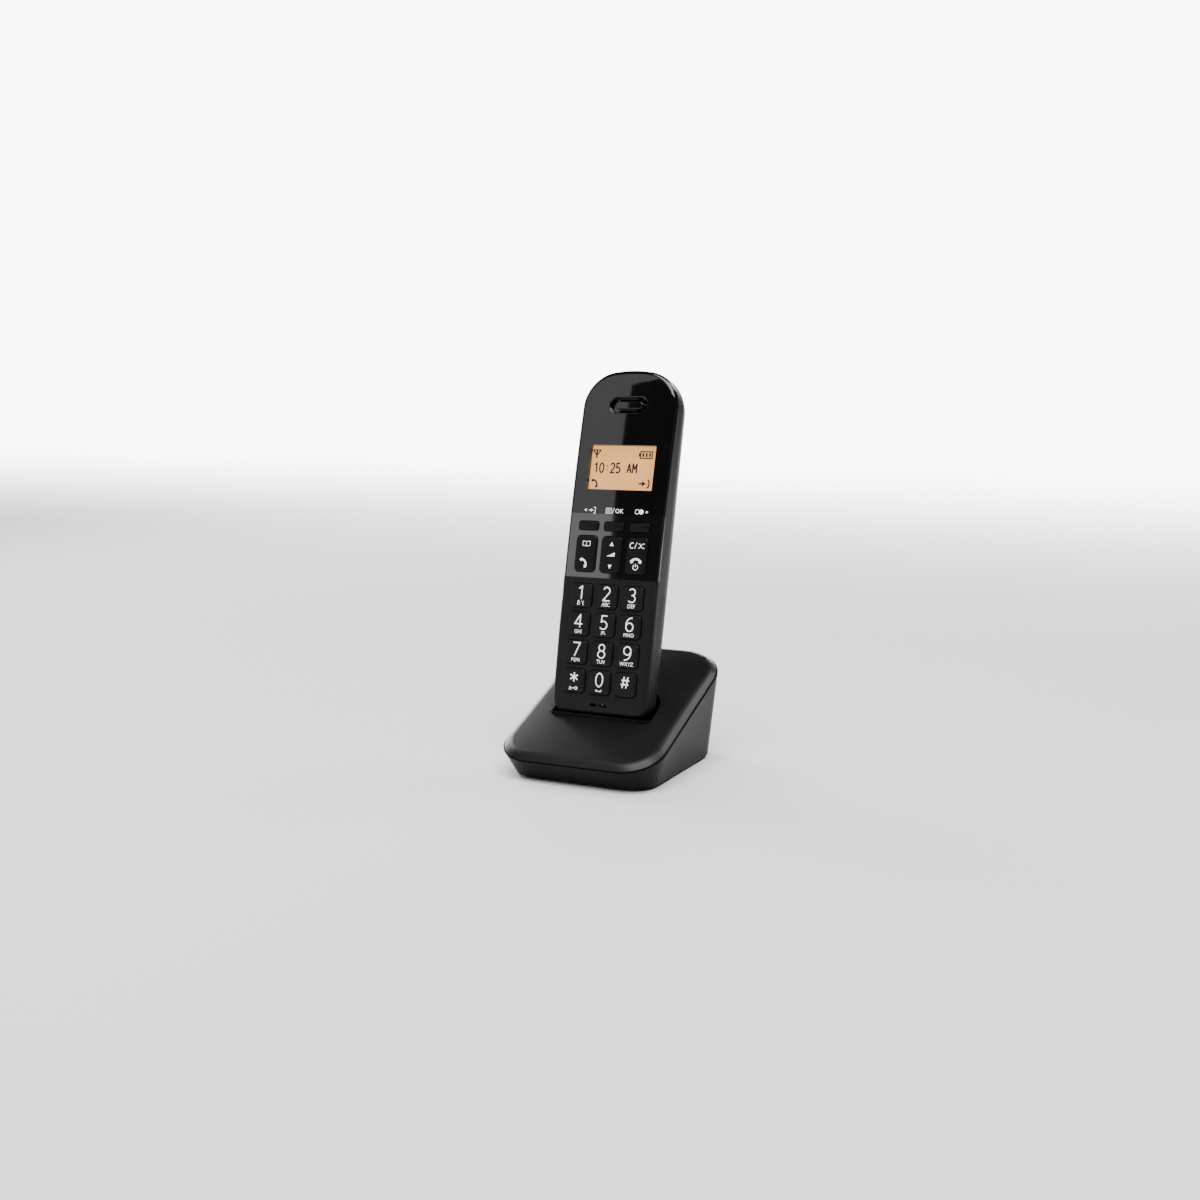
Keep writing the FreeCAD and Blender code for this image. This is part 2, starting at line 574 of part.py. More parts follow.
def handset_insides():
    """Writes the pieces inside the handset."""
    shield = box((-14, 14), (8.55, 10.4), (99, 123))
    pieces = {
        "keypad_mat": keypad_mat(),
        "key_domes": key_domes(),
        "handset_circuit_board": handset_board(),
        "radio_shield": shield.cut(box((-13.6, 13.6), (8.0, 10.0), (99.4, 122.6))),
        "lcd_glass": display_block(0.0, GLASS_DEPTH),
        "lcd_backlight": display_block(0.2, BACKLIGHT_DEPTH),
        "display_ribbon": box((-12, 12), (7.05, 7.3), (96.2, DISPLAY_HEIGHT - DISPLAY_GLASS[1] / 2 - 0.4)),
        "earpiece_gasket": on_face(rod(9.0, 4.1, 4.8).cut(rod(7.2, 3, 6)), 0, EAR_HEIGHT),
        "earpiece_speaker": on_face(joined([rod(9.0, 4.85, 7.05), rod(5.5, 4.85, 8.65)]), 0, EAR_HEIGHT),
        "ringer_speaker": joined([rod(8.0, 21.8, 23.8, 112.0), rod(5.0, 19.6, 23.8, 112.0)]),
        "microphone_boot": microphone_boot(),
        "microphone": rod(CAPSULE_RADIUS, 6.15, 7.35, CAPSULE_HEIGHT),
        "battery_cell_left": battery_cell(-1),
        "battery_cell_right": battery_cell(1),
        "battery_springs": battery_springs(),
        "battery_terminals": battery_terminals(),
        "charge_terminals": Part.makeCompound([charge_terminal(side) for side in (-1, 1)]),
        "handset_antenna": joined([
            box((10.6, 15.6), (9.3, 9.8), (130, 146)), box((10.6, 11.6), (8.6, 9.8), (124.0, 131))]),
        "handset_screws": handset_screws(),
    }
    for name, shape in pieces.items():
        save(name, shape, HANDSET_PLACE)


def battery_cell(side):
    """A small rechargeable cell with its raised positive button."""
    low = BAY_LOW + 5.0
    centre = Vector(side * CELL_X, CELL_DEPTH, low)
    can = cylinder(CELL_RADIUS, CELL_LENGTH - 0.8, centre, Vector(0, 0, 1))
    ends = [e for e in can.Edges if isinstance(e.Curve, Part.Circle)]
    can = can.makeFillet(0.5, ends)
    return joined([can, cylinder(1.9, CELL_LENGTH, centre, Vector(0, 0, 1))])


def charge_terminal(side):
    """A bent metal plate that shows on the handset's lower end."""
    low, high = sorted((side * 14.1, side * 18.1))
    return joined([
        box((low, high), (9.0, 18.0), (0.05, 0.55)),
        box((low, high), (9.0, 9.5), (0.05, 2.2))])


def screw(seat, direction, head_radius, head, shank_radius, length):
    """A screw whose head seats at a point and whose shank runs along a direction."""
    body = joined([
        cylinder(head_radius, head, seat - direction * head, direction),
        cylinder(shank_radius, length, seat - direction * 0.1, direction)])
    turned = Placement(seat, Rotation(Vector(0, 0, 1), direction))
    recess = (-head - 0.1, -head + 0.7)
    blades = [box((-1.1, 1.1), (-0.2, 0.2), recess), box((-0.2, 0.2), (-1.1, 1.1), recess)]
    return body.cut([blade.transformed(turned.toMatrix()) for blade in blades])


# ---------------------------------------------------------------- base

BASE_SCREWS = [(-26.5, -13.0), (26.5, -13.0), (-26.5, 20.0), (26.5, 20.0)]
BASE_FEET = [(-24.0, -29.0), (24.0, -29.0), (-23.0, 32.5), (23.0, 32.5)]
BOARD_PROPS = [(-18.0, -12.0), (18.0, -12.0), (-19.0, 22.0), (19.0, 22.0)]
LOCATOR = (0.0, 30.5)
LINE_JACK_X, POWER_JACK_X = -15.0, 15.0
BACK_FACE = BASE_DEPTH / 2 - TAPER_BACK


def top_cover(well, hollow):
    """The upper half of the base: a bevelled, gently crowned shell with the handset's pocket hung inside it."""
    low, high = SEAM_HALF_GAP, 2 * BEVEL_HEIGHT + 0.1
    slope = BEVEL_INSET / BEVEL_HEIGHT
    form = Part.makeLoft([seam_wire((low - 0.1) * slope, low), seam_wire(2 * BEVEL_INSET, high)], True, True)
    form = form.common(crown_solid())
    inside = Part.makeLoft([seam_wire(BASE_WALL, -1.0), seam_wire(BASE_WALL + 2 * BEVEL_INSET, 2 * BEVEL_HEIGHT)],
                           True, True)
    shell = form.cut(inside.common(crown_solid(BASE_WALL)))
    band = Part.makeLoft([seam_wire(-5, -1.5), seam_wire(-5, 0.6)], True, True)
    lip = tub_inside(0.15).cut(tub_inside(1.3)).common(band)
    well_wall = well.common(crown_solid())
    posts = [cylinder(2.9, FAR, Vector(x, y, 6.2), Vector(0, 0, 1)).common(crown_solid(1.0)) for x, y in BASE_SCREWS]
    cover = joined([shell, lip, well_wall] + posts)
    cutters = [hollow]
    cutters += [contact_slot(side, 0.35) for side in (-1, 1)]
    cutters += [cylinder(1.0, 12, Vector(x, y, 5), Vector(0, 0, 1)) for x, y in BASE_SCREWS]
    cutters.append(locator_prism(0.25, 10, FAR))
    return cover.cut(cutters)


def locator_prism(grow, low, high):
    """An upright oval column where the locator button stands."""
    wire = slot_wire(13.0 + 2 * grow, 5.0 + 2 * grow)
    wire.rotate(Vector(), UP_X, -90)
    face = Part.Face(wire)
    face.translate(Vector(LOCATOR[0], LOCATOR[1], low))
    return face.extrude(Vector(0, 0, high - low))


def locator_button():
    """The button behind the handset that makes it ring: an oval cap, a flange and a long stem to its switch."""
    cap = locator_prism(0, 20, FAR).common(crown_solid(-0.5)).cut(crown_solid(3.6))
    flange = locator_prism(0.9, 20, FAR).common(crown_solid(BASE_WALL + 0.15)).cut(crown_solid(BASE_WALL + 1.4))
    stem = cylinder(1.6, FAR, Vector(LOCATOR[0], LOCATOR[1], 12.3), Vector(0, 0, 1)).common(crown_solid(3.5))
    return joined([cap, flange, stem])


def contact_slot(side, clearance):
    """The space of one charging contact in the handset's frame, grown by a clearance, placed in the base."""
    middle, half = side * CONTACT_X, CONTACT_THICKNESS / 2 + clearance
    depths = (CONTACT_DEPTH[0] - clearance, CONTACT_DEPTH[1] + clearance)
    space = box((middle - half, middle + half), depths, (-12, 3))
    return space.transformed(HANDSET_PLACE.toMatrix())


def charge_contact(side):
    """A sprung metal blade: a rounded nose through the pocket's floor, on a wider foot."""
    middle, half = side * CONTACT_X, CONTACT_THICKNESS / 2
    front, back = CONTACT_DEPTH
    radius = (back - front) / 2
    nose = cylinder(radius, CONTACT_THICKNESS, Vector(middle - half, front + radius, -3.15), UP_X)
    blade = box((middle - half, middle + half), CONTACT_DEPTH, (-7.4, -3.15))
    foot = box((middle - half - 0.7, middle + half + 0.7), (front - 0.6, back + 0.6), (-7.9, -7.2))
    return joined([nose, blade, foot])


def contact_carrier():
    """The block under the pocket's floor that guides both contacts, open below them."""
    block = box((-20.5, 20.5), (8.8, 18.2), (-6.6, -2.5))
    half = CONTACT_THICKNESS / 2 + 0.25
    depths = (CONTACT_DEPTH[0] - 0.25, CONTACT_DEPTH[1] + 0.25)
    slots = [box((x - half, x + half), depths, (-9, 0)) for x in (-CONTACT_X, CONTACT_X)]
    legs = [box((side * 20.5 - 1.0, side * 20.5 + 1.0), (12.0, 15.0), (-10.0, -4.0)) for side in (-1, 1)]
    return joined([block.cut(slots)] + legs)


def tub_inside(extra=0.0):
    """The hollow of the base's lower half, or that hollow drawn in a little further."""
    return Part.makeLoft([foot_wire(BASE_WALL + 0.6 + extra, FOOT_HEIGHT + BASE_WALL),
                          seam_wire(BASE_WALL + extra, 1.0)], True, True)


def bottom_cover():
    """The lower half of the base: a tapered tub with screw bosses, and holes for the two sockets."""
    form = Part.makeLoft([foot_wire(0, FOOT_HEIGHT), seam_wire(0, -SEAM_HALF_GAP)], True, True)
    low_edges = [e for e in form.Edges if max(v.Z for v in e.Vertexes) < FOOT_HEIGHT + 0.01]
    form = form.makeFillet(1.4, low_edges)
    tub = form.cut(tub_inside())
    bosses = [cylinder(3.6, 5.1, Vector(x, y, 1.0), Vector(0, 0, 1)) for x, y in BASE_SCREWS]
    props = [cylinder(2.0, 3.6, Vector(x, y, 2.4), Vector(0, 0, 1)) for x, y in BOARD_PROPS]
    tub = joined([tub] + bosses + props)
    cutters = [cylinder(1.3, 12, Vector(x, y, -1), Vector(0, 0, 1)) for x, y in BASE_SCREWS]
    cutters += [cylinder(2.6, 3.2, Vector(x, y, 0), Vector(0, 0, 1)) for x, y in BASE_SCREWS]
    cutters += [cylinder(4.1, 0.6 + FOOT_HEIGHT, Vector(x, y, 0), Vector(0, 0, 1)) for x, y in BASE_FEET]
    for x, half, rise in ((LINE_JACK_X, 6.6, 11.9), (POWER_JACK_X, 4.8, 10.9)):
        cutters.append(box((x - half, x + half), (34, 50), (BASE_BOARD_TOP - 0.1, BASE_BOARD_TOP + rise)))
    vents = [box((-16 + 4 * i, -14.4 + 4 * i), (-4, 14), (0, 4)) for i in range(9)]
    return tub.cut(cutters + vents)


def line_jack():
    """The telephone line socket: a square housing with a stepped opening for the clip, open to the back."""
    x, z = LINE_JACK_X, BASE_BOARD_TOP
    housing = box((x - 6.4, x + 6.4), (BACK_FACE - 14.5, BACK_FACE - 0.1), (z + 0.05, z + 11.7))
    mouth = box((x - 4.9, x + 4.9), (BACK_FACE - 12.5, BACK_FACE + 1), (z + 3.9, z + 10.4))
    clip = box((x - 1.7, x + 1.7), (BACK_FACE - 12.5, BACK_FACE + 1), (z + 1.6, z + 4.0))
    wires = [box((x - 2.05 + 1.27 * i - 0.15, x - 2.05 + 1.27 * i + 0.45), (BACK_FACE - 12.6, BACK_FACE - 4),
                 (z + 9.9, z + 10.5)) for i in range(4)]
    return joined([housing.cut([mouth, clip])] + wires)


def power_jack():
    """The power inlet: a housing with a round socket and its centre pin."""
    x, z = POWER_JACK_X, BASE_BOARD_TOP
    housing = box((x - 4.6, x + 4.6), (BACK_FACE - 12.5, BACK_FACE - 0.1), (z + 0.05, z + 10.7))
    socket = cylinder(3.0, 10, Vector(x, BACK_FACE - 9.6, z + 5.8), Vector(0, 1, 0))
    pin = cylinder(0.65, 9.0, Vector(x, BACK_FACE - 10.0, z + 5.8), Vector(0, 1, 0))
    return joined([housing.cut(socket), pin])


def base_pieces():
    """Writes the base's pieces."""
    hollow = pocket().transformed(HANDSET_PLACE.toMatrix())
    well = pocket(1.8, -POCKET_GAP - 1.8).transformed(HANDSET_PLACE.toMatrix())
    save("base_top_cover", top_cover(well, hollow))
    save("base_bottom_cover", bottom_cover())
    save("locator_button", locator_button())
    for side, name in ((-1, "charge_contact_left"), (1, "charge_contact_right")):
        save(name, charge_contact(side), HANDSET_PLACE)
    save("contact_carrier", contact_carrier(), HANDSET_PLACE)
    board = box((-22, 22), (-16, 39.4), (BASE_BOARD_TOP - 1.4, BASE_BOARD_TOP))
    save("base_circuit_board", board)
    save("line_jack", line_jack())
    save("power_jack", power_jack())
    board_parts(BASE_BOARD_TOP + 0.05)
    up = Vector(0, 0, 1)
    save("base_screws", Part.makeCompound([
        screw(Vector(x, y, 3.2), up, 2.4, 1.6, 0.95, 9.0) for x, y in BASE_SCREWS]))
    save("rubber_feet", Part.makeCompound([
        cylinder(4.0, FOOT_HEIGHT + 0.55, Vector(x, y, 0), up) for x, y in BASE_FEET]))


def board_parts(top):
    """Writes the pieces that stand on the base's circuit board, whose face is just under this height."""
    up = Vector(0, 0, 1)
    housing = box((-3, 3), (LOCATOR[1] - 3, LOCATOR[1] + 3), (top, top + 3.4))
    save("locator_switch", joined([housing, cylinder(1.5, 4.0, Vector(*LOCATOR, top), up)]))
    shield = box((-12, 8), (-13, 3), (top, top + 2.6))
    save("base_radio_shield", shield.cut(box((-11.6, 7.6), (-12.6, 2.6), (top - 1, top + 2.2))))
    capacitors = [cylinder(3.2, 7.0, Vector(15, y, top), up) for y in (8, 16)]
    save("base_board_parts", Part.makeCompound(capacitors + [
        box((-8, 3), (6, 17), (top, top + 6.5)),
        box((10, 19), (-12, -3), (top, top + 1.4))]))
    save("base_antennas", Part.makeCompound([
        joined([box((x - 3, x + 3), (22, 22.6), (top + 2, 30)), box((x - 0.8, x + 0.8), (22, 22.6), (top, 12))])
        for x in (-18.5, 18.5)]))


def main():
    os.makedirs("parts", exist_ok=True)
    form = front_form()
    save("handset_front_case", front_case(form), HANDSET_PLACE)
    lens, frame, window = glossy_panels(form)
    save("lens_panel", lens, HANDSET_PLACE)
    save("function_key_frame", frame, HANDSET_PLACE)
    save("display_window", window, HANDSET_PLACE)
    save("earpiece_grille", earpiece_grille(), HANDSET_PLACE)
    save("handset_rear_case", rear_case(), HANDSET_PLACE)
    save("battery_cover", battery_cover(), HANDSET_PLACE)
    handset_insides()
    for name, x, height, size in key_places():
        make_key(name, x, height, size)
    base_pieces()


main()
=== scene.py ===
import json
import logging
import math
from dataclasses import dataclass, field
from enum import Enum
from typing import Callable, Iterable, Sequence

import bmesh
import bpy
import numpy as np
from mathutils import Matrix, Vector


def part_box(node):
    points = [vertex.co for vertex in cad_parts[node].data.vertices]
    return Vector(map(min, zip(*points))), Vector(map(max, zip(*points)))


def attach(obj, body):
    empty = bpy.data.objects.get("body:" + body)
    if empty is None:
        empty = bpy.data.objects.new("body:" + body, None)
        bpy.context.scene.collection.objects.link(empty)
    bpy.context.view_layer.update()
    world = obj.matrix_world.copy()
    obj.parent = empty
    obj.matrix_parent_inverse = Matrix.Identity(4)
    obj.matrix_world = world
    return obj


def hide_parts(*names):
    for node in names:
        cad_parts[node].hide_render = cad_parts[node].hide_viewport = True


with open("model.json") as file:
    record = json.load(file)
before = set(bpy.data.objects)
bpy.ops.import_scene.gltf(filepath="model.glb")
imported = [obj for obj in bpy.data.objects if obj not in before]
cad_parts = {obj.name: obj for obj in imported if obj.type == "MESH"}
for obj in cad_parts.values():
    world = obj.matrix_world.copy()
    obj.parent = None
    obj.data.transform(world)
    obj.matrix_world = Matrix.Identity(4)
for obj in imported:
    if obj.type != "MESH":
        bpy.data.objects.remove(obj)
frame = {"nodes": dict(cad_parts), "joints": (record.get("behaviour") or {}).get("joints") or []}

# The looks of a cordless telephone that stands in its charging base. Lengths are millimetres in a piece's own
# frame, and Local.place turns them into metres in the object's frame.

Array = np.ndarray
log = logging.getLogger("phone")
MM = 0.001
INK_LIFT = 0.02                   # how far printing stands over the surface that it is laid on
ARC_STEPS = 8                     # facets in a quarter turn of an outline
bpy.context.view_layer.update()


# ---------------------------------------------------------------- shader graph

class Wire:
    """A number that flows between shader nodes; arithmetic on it adds Math nodes."""

    def __init__(self, graph: "Graph", socket: bpy.types.NodeSocket) -> None:
        """Wraps one output socket of a graph."""
        self.graph = graph
        self.socket = socket

    def _math(self, operation: str, first: object, second: object = 0.0) -> "Wire":
        """Adds one Math node and returns its result."""
        return self.graph.node("ShaderNodeMath", {"operation": operation}, {0: first, 1: second})

    def __add__(self, other: object) -> "Wire":
        """Sum."""
        return self._math("ADD", self, other)

    def __sub__(self, other: object) -> "Wire":
        """Difference."""
        return self._math("SUBTRACT", self, other)

    def __rsub__(self, other: object) -> "Wire":
        """Difference, taken from a plain number."""
        return self._math("SUBTRACT", other, self)

    def __mul__(self, other: object) -> "Wire":
        """Product."""
        return self._math("MULTIPLY", self, other)

    def __gt__(self, other: object) -> "Wire":
        """1 where it is the greater, else 0."""
        return self._math("GREATER_THAN", self, other)

    def distance_to_cell_middle(self) -> "Wire":
        """How far the value is from the middle of its whole-number cell, 0 to 0.5."""
        return self._math("ABSOLUTE", self._math("FRACT", self) - 0.5)

    __radd__ = __add__
    __rmul__ = __mul__


class Graph:
    """A material's node tree, with one method that adds any node."""

    def __init__(self, name: str) -> None:
        """Starts a material whose surface is one Principled BSDF.

        Args:
            name: The material's name.
        """
        self.material = bpy.data.materials.new(name)
        self.material.use_nodes = True
        self.tree = self.material.node_tree
        self.surface = self.tree.nodes["Principled BSDF"]

    def node(self, kind: str, settings: dict | None = None, inputs: dict | None = None,
             output: int | str = 0) -> Wire:
        """Adds a node.

        Args:
            kind: The node's type name.
            settings: Attributes that are set before the sockets; "ramp" holds a colour ramp's (place, colour) stops.
            inputs: Socket names or numbers, with the value or Wire of each.
            output: The socket to return.

        Returns:
            The chosen output.
        """
        made = self.tree.nodes.new(kind)
        for name, value in (settings or {}).items():
            if name == "ramp":
                self._set_ramp(made.color_ramp, value)
            else:
                setattr(made, name, value)
        for key, value in (inputs or {}).items():
            self.feed(made.inputs[key], value)
        return Wire(self, made.outputs[output])

    def _set_ramp(self, ramp: bpy.types.ColorRamp, stops: Sequence[tuple[float, tuple]]) -> None:
        """Gives a colour ramp its stops."""
        while len(ramp.elements) < len(stops):
            ramp.elements.new(0.5)
        for element, (place, colour) in zip(ramp.elements, stops):
            element.position = place
            element.color = (*colour, 1.0)

    def feed(self, socket: bpy.types.NodeSocket, value: object) -> None:
        """Links a Wire to a socket, or sets a plain value on it."""
        if isinstance(value, Wire):
            self.tree.links.new(value.socket, socket)
        elif isinstance(value, tuple) and len(value) == 3 and len(socket.default_value) == 4:
            socket.default_value = (*value, 1.0)
        else:
            socket.default_value = value

    def set(self, **values: object) -> None:
        """Sets the surface's sockets by name, with underscores for spaces."""
        for name, value in values.items():
            self.feed(self.surface.inputs[name.replace("_", " ")], value)

    def place(self, scale: float = 1.0) -> Wire:
        """Object coordinates in millimetres, times a scale."""
        where = self.node("ShaderNodeTexCoord", output="Object")
        return self.node("ShaderNodeVectorMath", {"operation": "SCALE"}, {0: where, "Scale": 1000.0 * scale})

    def noise(self, size_mm: float, detail: float = 3.0, roughness: float = 0.55) -> Wire:
        """Noise whose features are about this many millimetres across, 0 to 1."""
        return self.node("ShaderNodeTexNoise", None, {
            "Vector": self.place(1.0 / size_mm), "Scale": 1.0, "Detail": detail, "Roughness": roughness})

    def parts(self, vector: Wire) -> list[Wire]:
        """A vector's three numbers."""
        split = self.node("ShaderNodeSeparateXYZ", None, {0: vector}).socket.node
        return [Wire(self, output) for output in split.outputs]

    def mix(self, factor: object, first: tuple | Wire, second: tuple | Wire) -> Wire:
        """A mix of two colours."""
        return self.node("ShaderNodeMix", {"data_type": "RGBA"}, {0: factor, 6: first, 7: second}, 2)

    def bump(self, height: Wire, depth_mm: float, strength: float = 1.0) -> None:
        """Sends a height field to the surface's normal."""
        normal = self.node("ShaderNodeBump", None,
                           {"Height": height, "Distance": depth_mm * MM, "Strength": strength}, "Normal")
        self.feed(self.surface.inputs["Normal"], normal)


class Surroundings(Graph):
    """The world's node tree."""

    def __init__(self, name: str) -> None:
        """Starts a world whose surface is one Background.

        Args:
            name: The world's name.
        """
        self.world = bpy.data.worlds.new(name)
        self.world.use_nodes = True
        self.tree = self.world.node_tree
        self.surface = self.tree.nodes["Background"]


# ---------------------------------------------------------------- finishes

class Grain(Enum):
    """The texture of a moulded surface: feature size and depth in millimetres."""

    SPARK = (0.30, 0.034)
    SATIN = (0.22, 0.012)
    POLISHED = (14.0, 0.0015)
    RUBBERY = (0.35, 0.012)


@dataclass(frozen=True)
class Moulded:
    """A moulded plastic or rubber, with its grain, a little mottling and scuffs that change its gloss."""

    name: str
    colour: tuple[float, float, float]
    roughness: float
    grain: Grain = Grain.SPARK
    mottle: float = 0.18
    coat: float = 0.0
    specular: float = 0.5
    scuff: float = 0.06

    def material(self) -> bpy.types.Material:
        """Builds the material."""
        graph = Graph(self.name)
        size, depth = self.grain.value
        broad = graph.noise(14.0, 4.0)
        lighter = tuple(min(1.0, c * (1 + 2 * self.mottle) + 0.002) for c in self.colour)
        darker = tuple(c * (1 - self.mottle) for c in self.colour)
        graph.set(Base_Color=graph.mix(broad, darker, lighter), Coat_Weight=self.coat, Coat_Roughness=0.04,
                  Specular_IOR_Level=self.specular)
        scuffs = graph.noise(3.1, 6.0, 0.7)
        graph.set(Roughness=(scuffs - 0.5) * (2 * self.scuff) + self.roughness)
        graph.bump(graph.noise(size, 2.0), depth)
        return graph.material


@dataclass(frozen=True)
class Metal:
    """Bare or plated metal with fine drawn lines."""

    name: str
    colour: tuple[float, float, float]
    roughness: float
    lines_mm: float = 0.12

    def material(self) -> bpy.types.Material:
        """Builds the material."""
        graph = Graph(self.name)
        stretched = graph.node("ShaderNodeMapping", None, {"Vector": graph.place(1 / self.lines_mm),
                                                           "Scale": (1.0, 0.06, 0.06)})
        lines = graph.node("ShaderNodeTexNoise", None, {"Vector": stretched, "Scale": 1.0, "Detail": 3.0})
        tarnish = graph.noise(4.0, 4.0)
        darker = tuple(c * 0.72 for c in self.colour)
        graph.set(Base_Color=graph.mix(tarnish, self.colour, darker), Metallic=1.0,
                  Roughness=lines * 0.18 + (self.roughness - 0.06))
        graph.bump(lines, 0.01)
        return graph.material


@dataclass(frozen=True)
class CircuitBoard:
    """Green solder mask with copper runs under it and small pads."""

    name: str = "circuit_board_green"
    run_pitch: float = 1.6
    run_edge: float = 0.34

    def material(self) -> bpy.types.Material:
        """Builds the material: runs are lines along x and z, switched between by a coarse checker."""
        graph = Graph(self.name)
        x, _, z = graph.parts(graph.place(1 / self.run_pitch))
        across = x.distance_to_cell_middle() > self.run_edge
        along = z.distance_to_cell_middle() > self.run_edge
        patch = graph.noise(9.0, 0.0) > 0.5
        runs = across * patch + along * (1 - patch)
        graph.set(Base_Color=graph.mix(runs, (0.012, 0.10, 0.03), (0.03, 0.24, 0.07)), Roughness=0.3,
                  Coat_Weight=0.4)
        graph.bump(runs, 0.03)
        return graph.material


@dataclass(frozen=True)
class CellSleeve:
    """A cell's shrink sleeve: a broad coloured band, a pale band and a dark end."""

    name: str = "cell_sleeve"
    reach: float = 120.0

    def material(self) -> bpy.types.Material:
        """Builds the material from height, since the cells stand nearly upright."""
        graph = Graph(self.name)
        height = graph.parts(graph.place(1 / self.reach))[2]
        bands = graph.node("ShaderNodeValToRGB", {"ramp": [(0.0, (0.02, 0.02, 0.02)), (0.62, (0.02, 0.22, 0.09)),
                                                           (0.9, (0.7, 0.7, 0.68))]}, {0: height})
        graph.set(Base_Color=bands, Roughness=graph.noise(2.0) * 0.1 + 0.22, Coat_Weight=0.3)
        graph.bump(graph.noise(3.0), 0.03)
        return graph.material


@dataclass(frozen=True)
class LitPanel:
    """The lit face of the display: amber, with the faint cells of the panel."""

    name: str = "display_amber"
    colour: tuple[float, float, float] = (1.0, 0.44, 0.118)
    glow: float = 1.32

    def material(self) -> bpy.types.Material:
        """Builds the material."""
        graph = Graph(self.name)
        cells = graph.node("ShaderNodeTexNoise", None, {"Vector": graph.place(1 / 11.0), "Scale": 1.0, "Detail": 1.0})
        paler = tuple(min(1.0, c * 1.12 + 0.03) for c in self.colour)
        lit = graph.mix(cells, self.colour, paler)
        graph.set(Base_Color=graph.mix(cells, (0.20, 0.10, 0.04), (0.24, 0.12, 0.05)), Emission_Color=lit,
                  Emission_Strength=self.glow, Roughness=0.5)
        graph.bump(graph.noise(0.4), 0.004)
        return graph.material


@dataclass(frozen=True)
class Ink:
    """Printing: one even colour with a slightly uneven edge of gloss, and a painted glow in its own colour when glow
    is set.
    """

    name: str
    colour: tuple[float, float, float]
    glow: float = 0.0

    def material(self) -> bpy.types.Material:
        """Builds the material."""
        graph = Graph(self.name)
        wear = graph.noise(0.5, 3.0)
        duller = tuple(c * 0.9 for c in self.colour)
        graph.set(Base_Color=graph.mix(wear, duller, self.colour), Roughness=wear * 0.1 + 0.4)
        # Painted glow: printing is no lamp, so this emission is painted light.
        if self.glow:
            graph.set(Emission_Color=self.colour, Emission_Strength=self.glow)
        return graph.material


@dataclass(frozen=True)
class ClearWindow:
    """Clear hard-coated plastic: a thin gloss over what lies behind it."""

    name: str = "window_clear"

    def material(self) -> bpy.types.Material:
        """Builds the material."""
        graph = Graph(self.name)
        graph.set(Base_Color=graph.mix(graph.noise(8.0), (0.02, 0.02, 0.02), (0.03, 0.03, 0.03)),
                  Alpha=graph.noise(5.0) * 0.02 + 0.04, Roughness=graph.noise(2.0) * 0.02 + 0.02)
        graph.bump(graph.noise(6.0), 0.002)
        return graph.material


CASE_BLACK = Moulded("case_black", (0.0055, 0.0055, 0.0061), 0.44, Grain.SATIN, specular=0.16)
GLOSS_BLACK = Moulded("gloss_black", (0.0012, 0.0010, 0.0011), 0.022, Grain.POLISHED, scuff=0.006)
FRAME_BLACK = Moulded("frame_black", (0.0012, 0.0010, 0.0011), 0.03, Grain.POLISHED, scuff=0.006, specular=0.85,
                      coat=0.6)
KEY_BLACK = Moulded("key_black", (0.0030, 0.0030, 0.0036), 0.42, Grain.SPARK, specular=0.19)
FUNCTION_KEY_BLACK = Moulded("function_key_black", (0.0032, 0.0030, 0.0031), 0.36, Grain.SATIN, specular=0.15)
BASE_BLACK = Moulded("base_black", (0.0018, 0.0017, 0.0022), 0.36, Grain.SPARK, specular=0.27)
BASE_LOWER_BLACK = Moulded("base_lower_black", (0.0070, 0.0064, 0.0072), 0.40, Grain.SATIN, specular=0.05)
SOCKET_BLACK = Moulded("socket_black", (0.012, 0.012, 0.013), 0.4, Grain.SATIN)
RUBBER_BLACK = Moulded("rubber_black", (0.014, 0.014, 0.014), 0.8, Grain.RUBBERY)
RUBBER_GREY = Moulded("rubber_grey", (0.16, 0.16, 0.17), 0.7, Grain.RUBBERY)
WHITE_PLASTIC = Moulded("white_plastic", (0.72, 0.72, 0.70), 0.4, Grain.SATIN, mottle=0.05)
RIBBON = Moulded("ribbon_amber", (0.35, 0.13, 0.02), 0.3, Grain.SATIN)
STEEL = Metal("steel_sheet", (0.62, 0.62, 0.63), 0.32)
SPRING_STEEL = Metal("steel_spring", (0.72, 0.71, 0.69), 0.22)
CONTACT = Metal("contact_metal", (0.80, 0.76, 0.66), 0.2)
SCREW_STEEL = Metal("screw_steel", (0.20, 0.20, 0.21), 0.35)
# White printing with a painted glow (emission 0.55), so that it reads brighter than the light on it makes it.
GLOWING_LEGEND = Ink("legend_white_painted_glow", (0.92, 0.92, 0.92), 0.55)
DISPLAY_INK = Ink("display_ink", (0.012, 0.003, 0.012))
# Flat dark matte patches that stand for the dark insides of the charge contacts' slots: painted shade.
SLOT_SHADE_PATCH = Moulded("slot_shade_painted", (0.004, 0.004, 0.004), 0.7, Grain.SATIN)


class Paints:
    """Builds each finish once and hands out its material."""

    def __init__(self) -> None:
        """Starts with none built."""
        self.made: dict[str, bpy.types.Material] = {}

    def of(self, finish: object) -> bpy.types.Material:
        """The material of a finish."""
        if finish.name not in self.made:
            self.made[finish.name] = finish.material()
        return self.made[finish.name]


PAINTS = Paints()


# ---------------------------------------------------------------- outlines

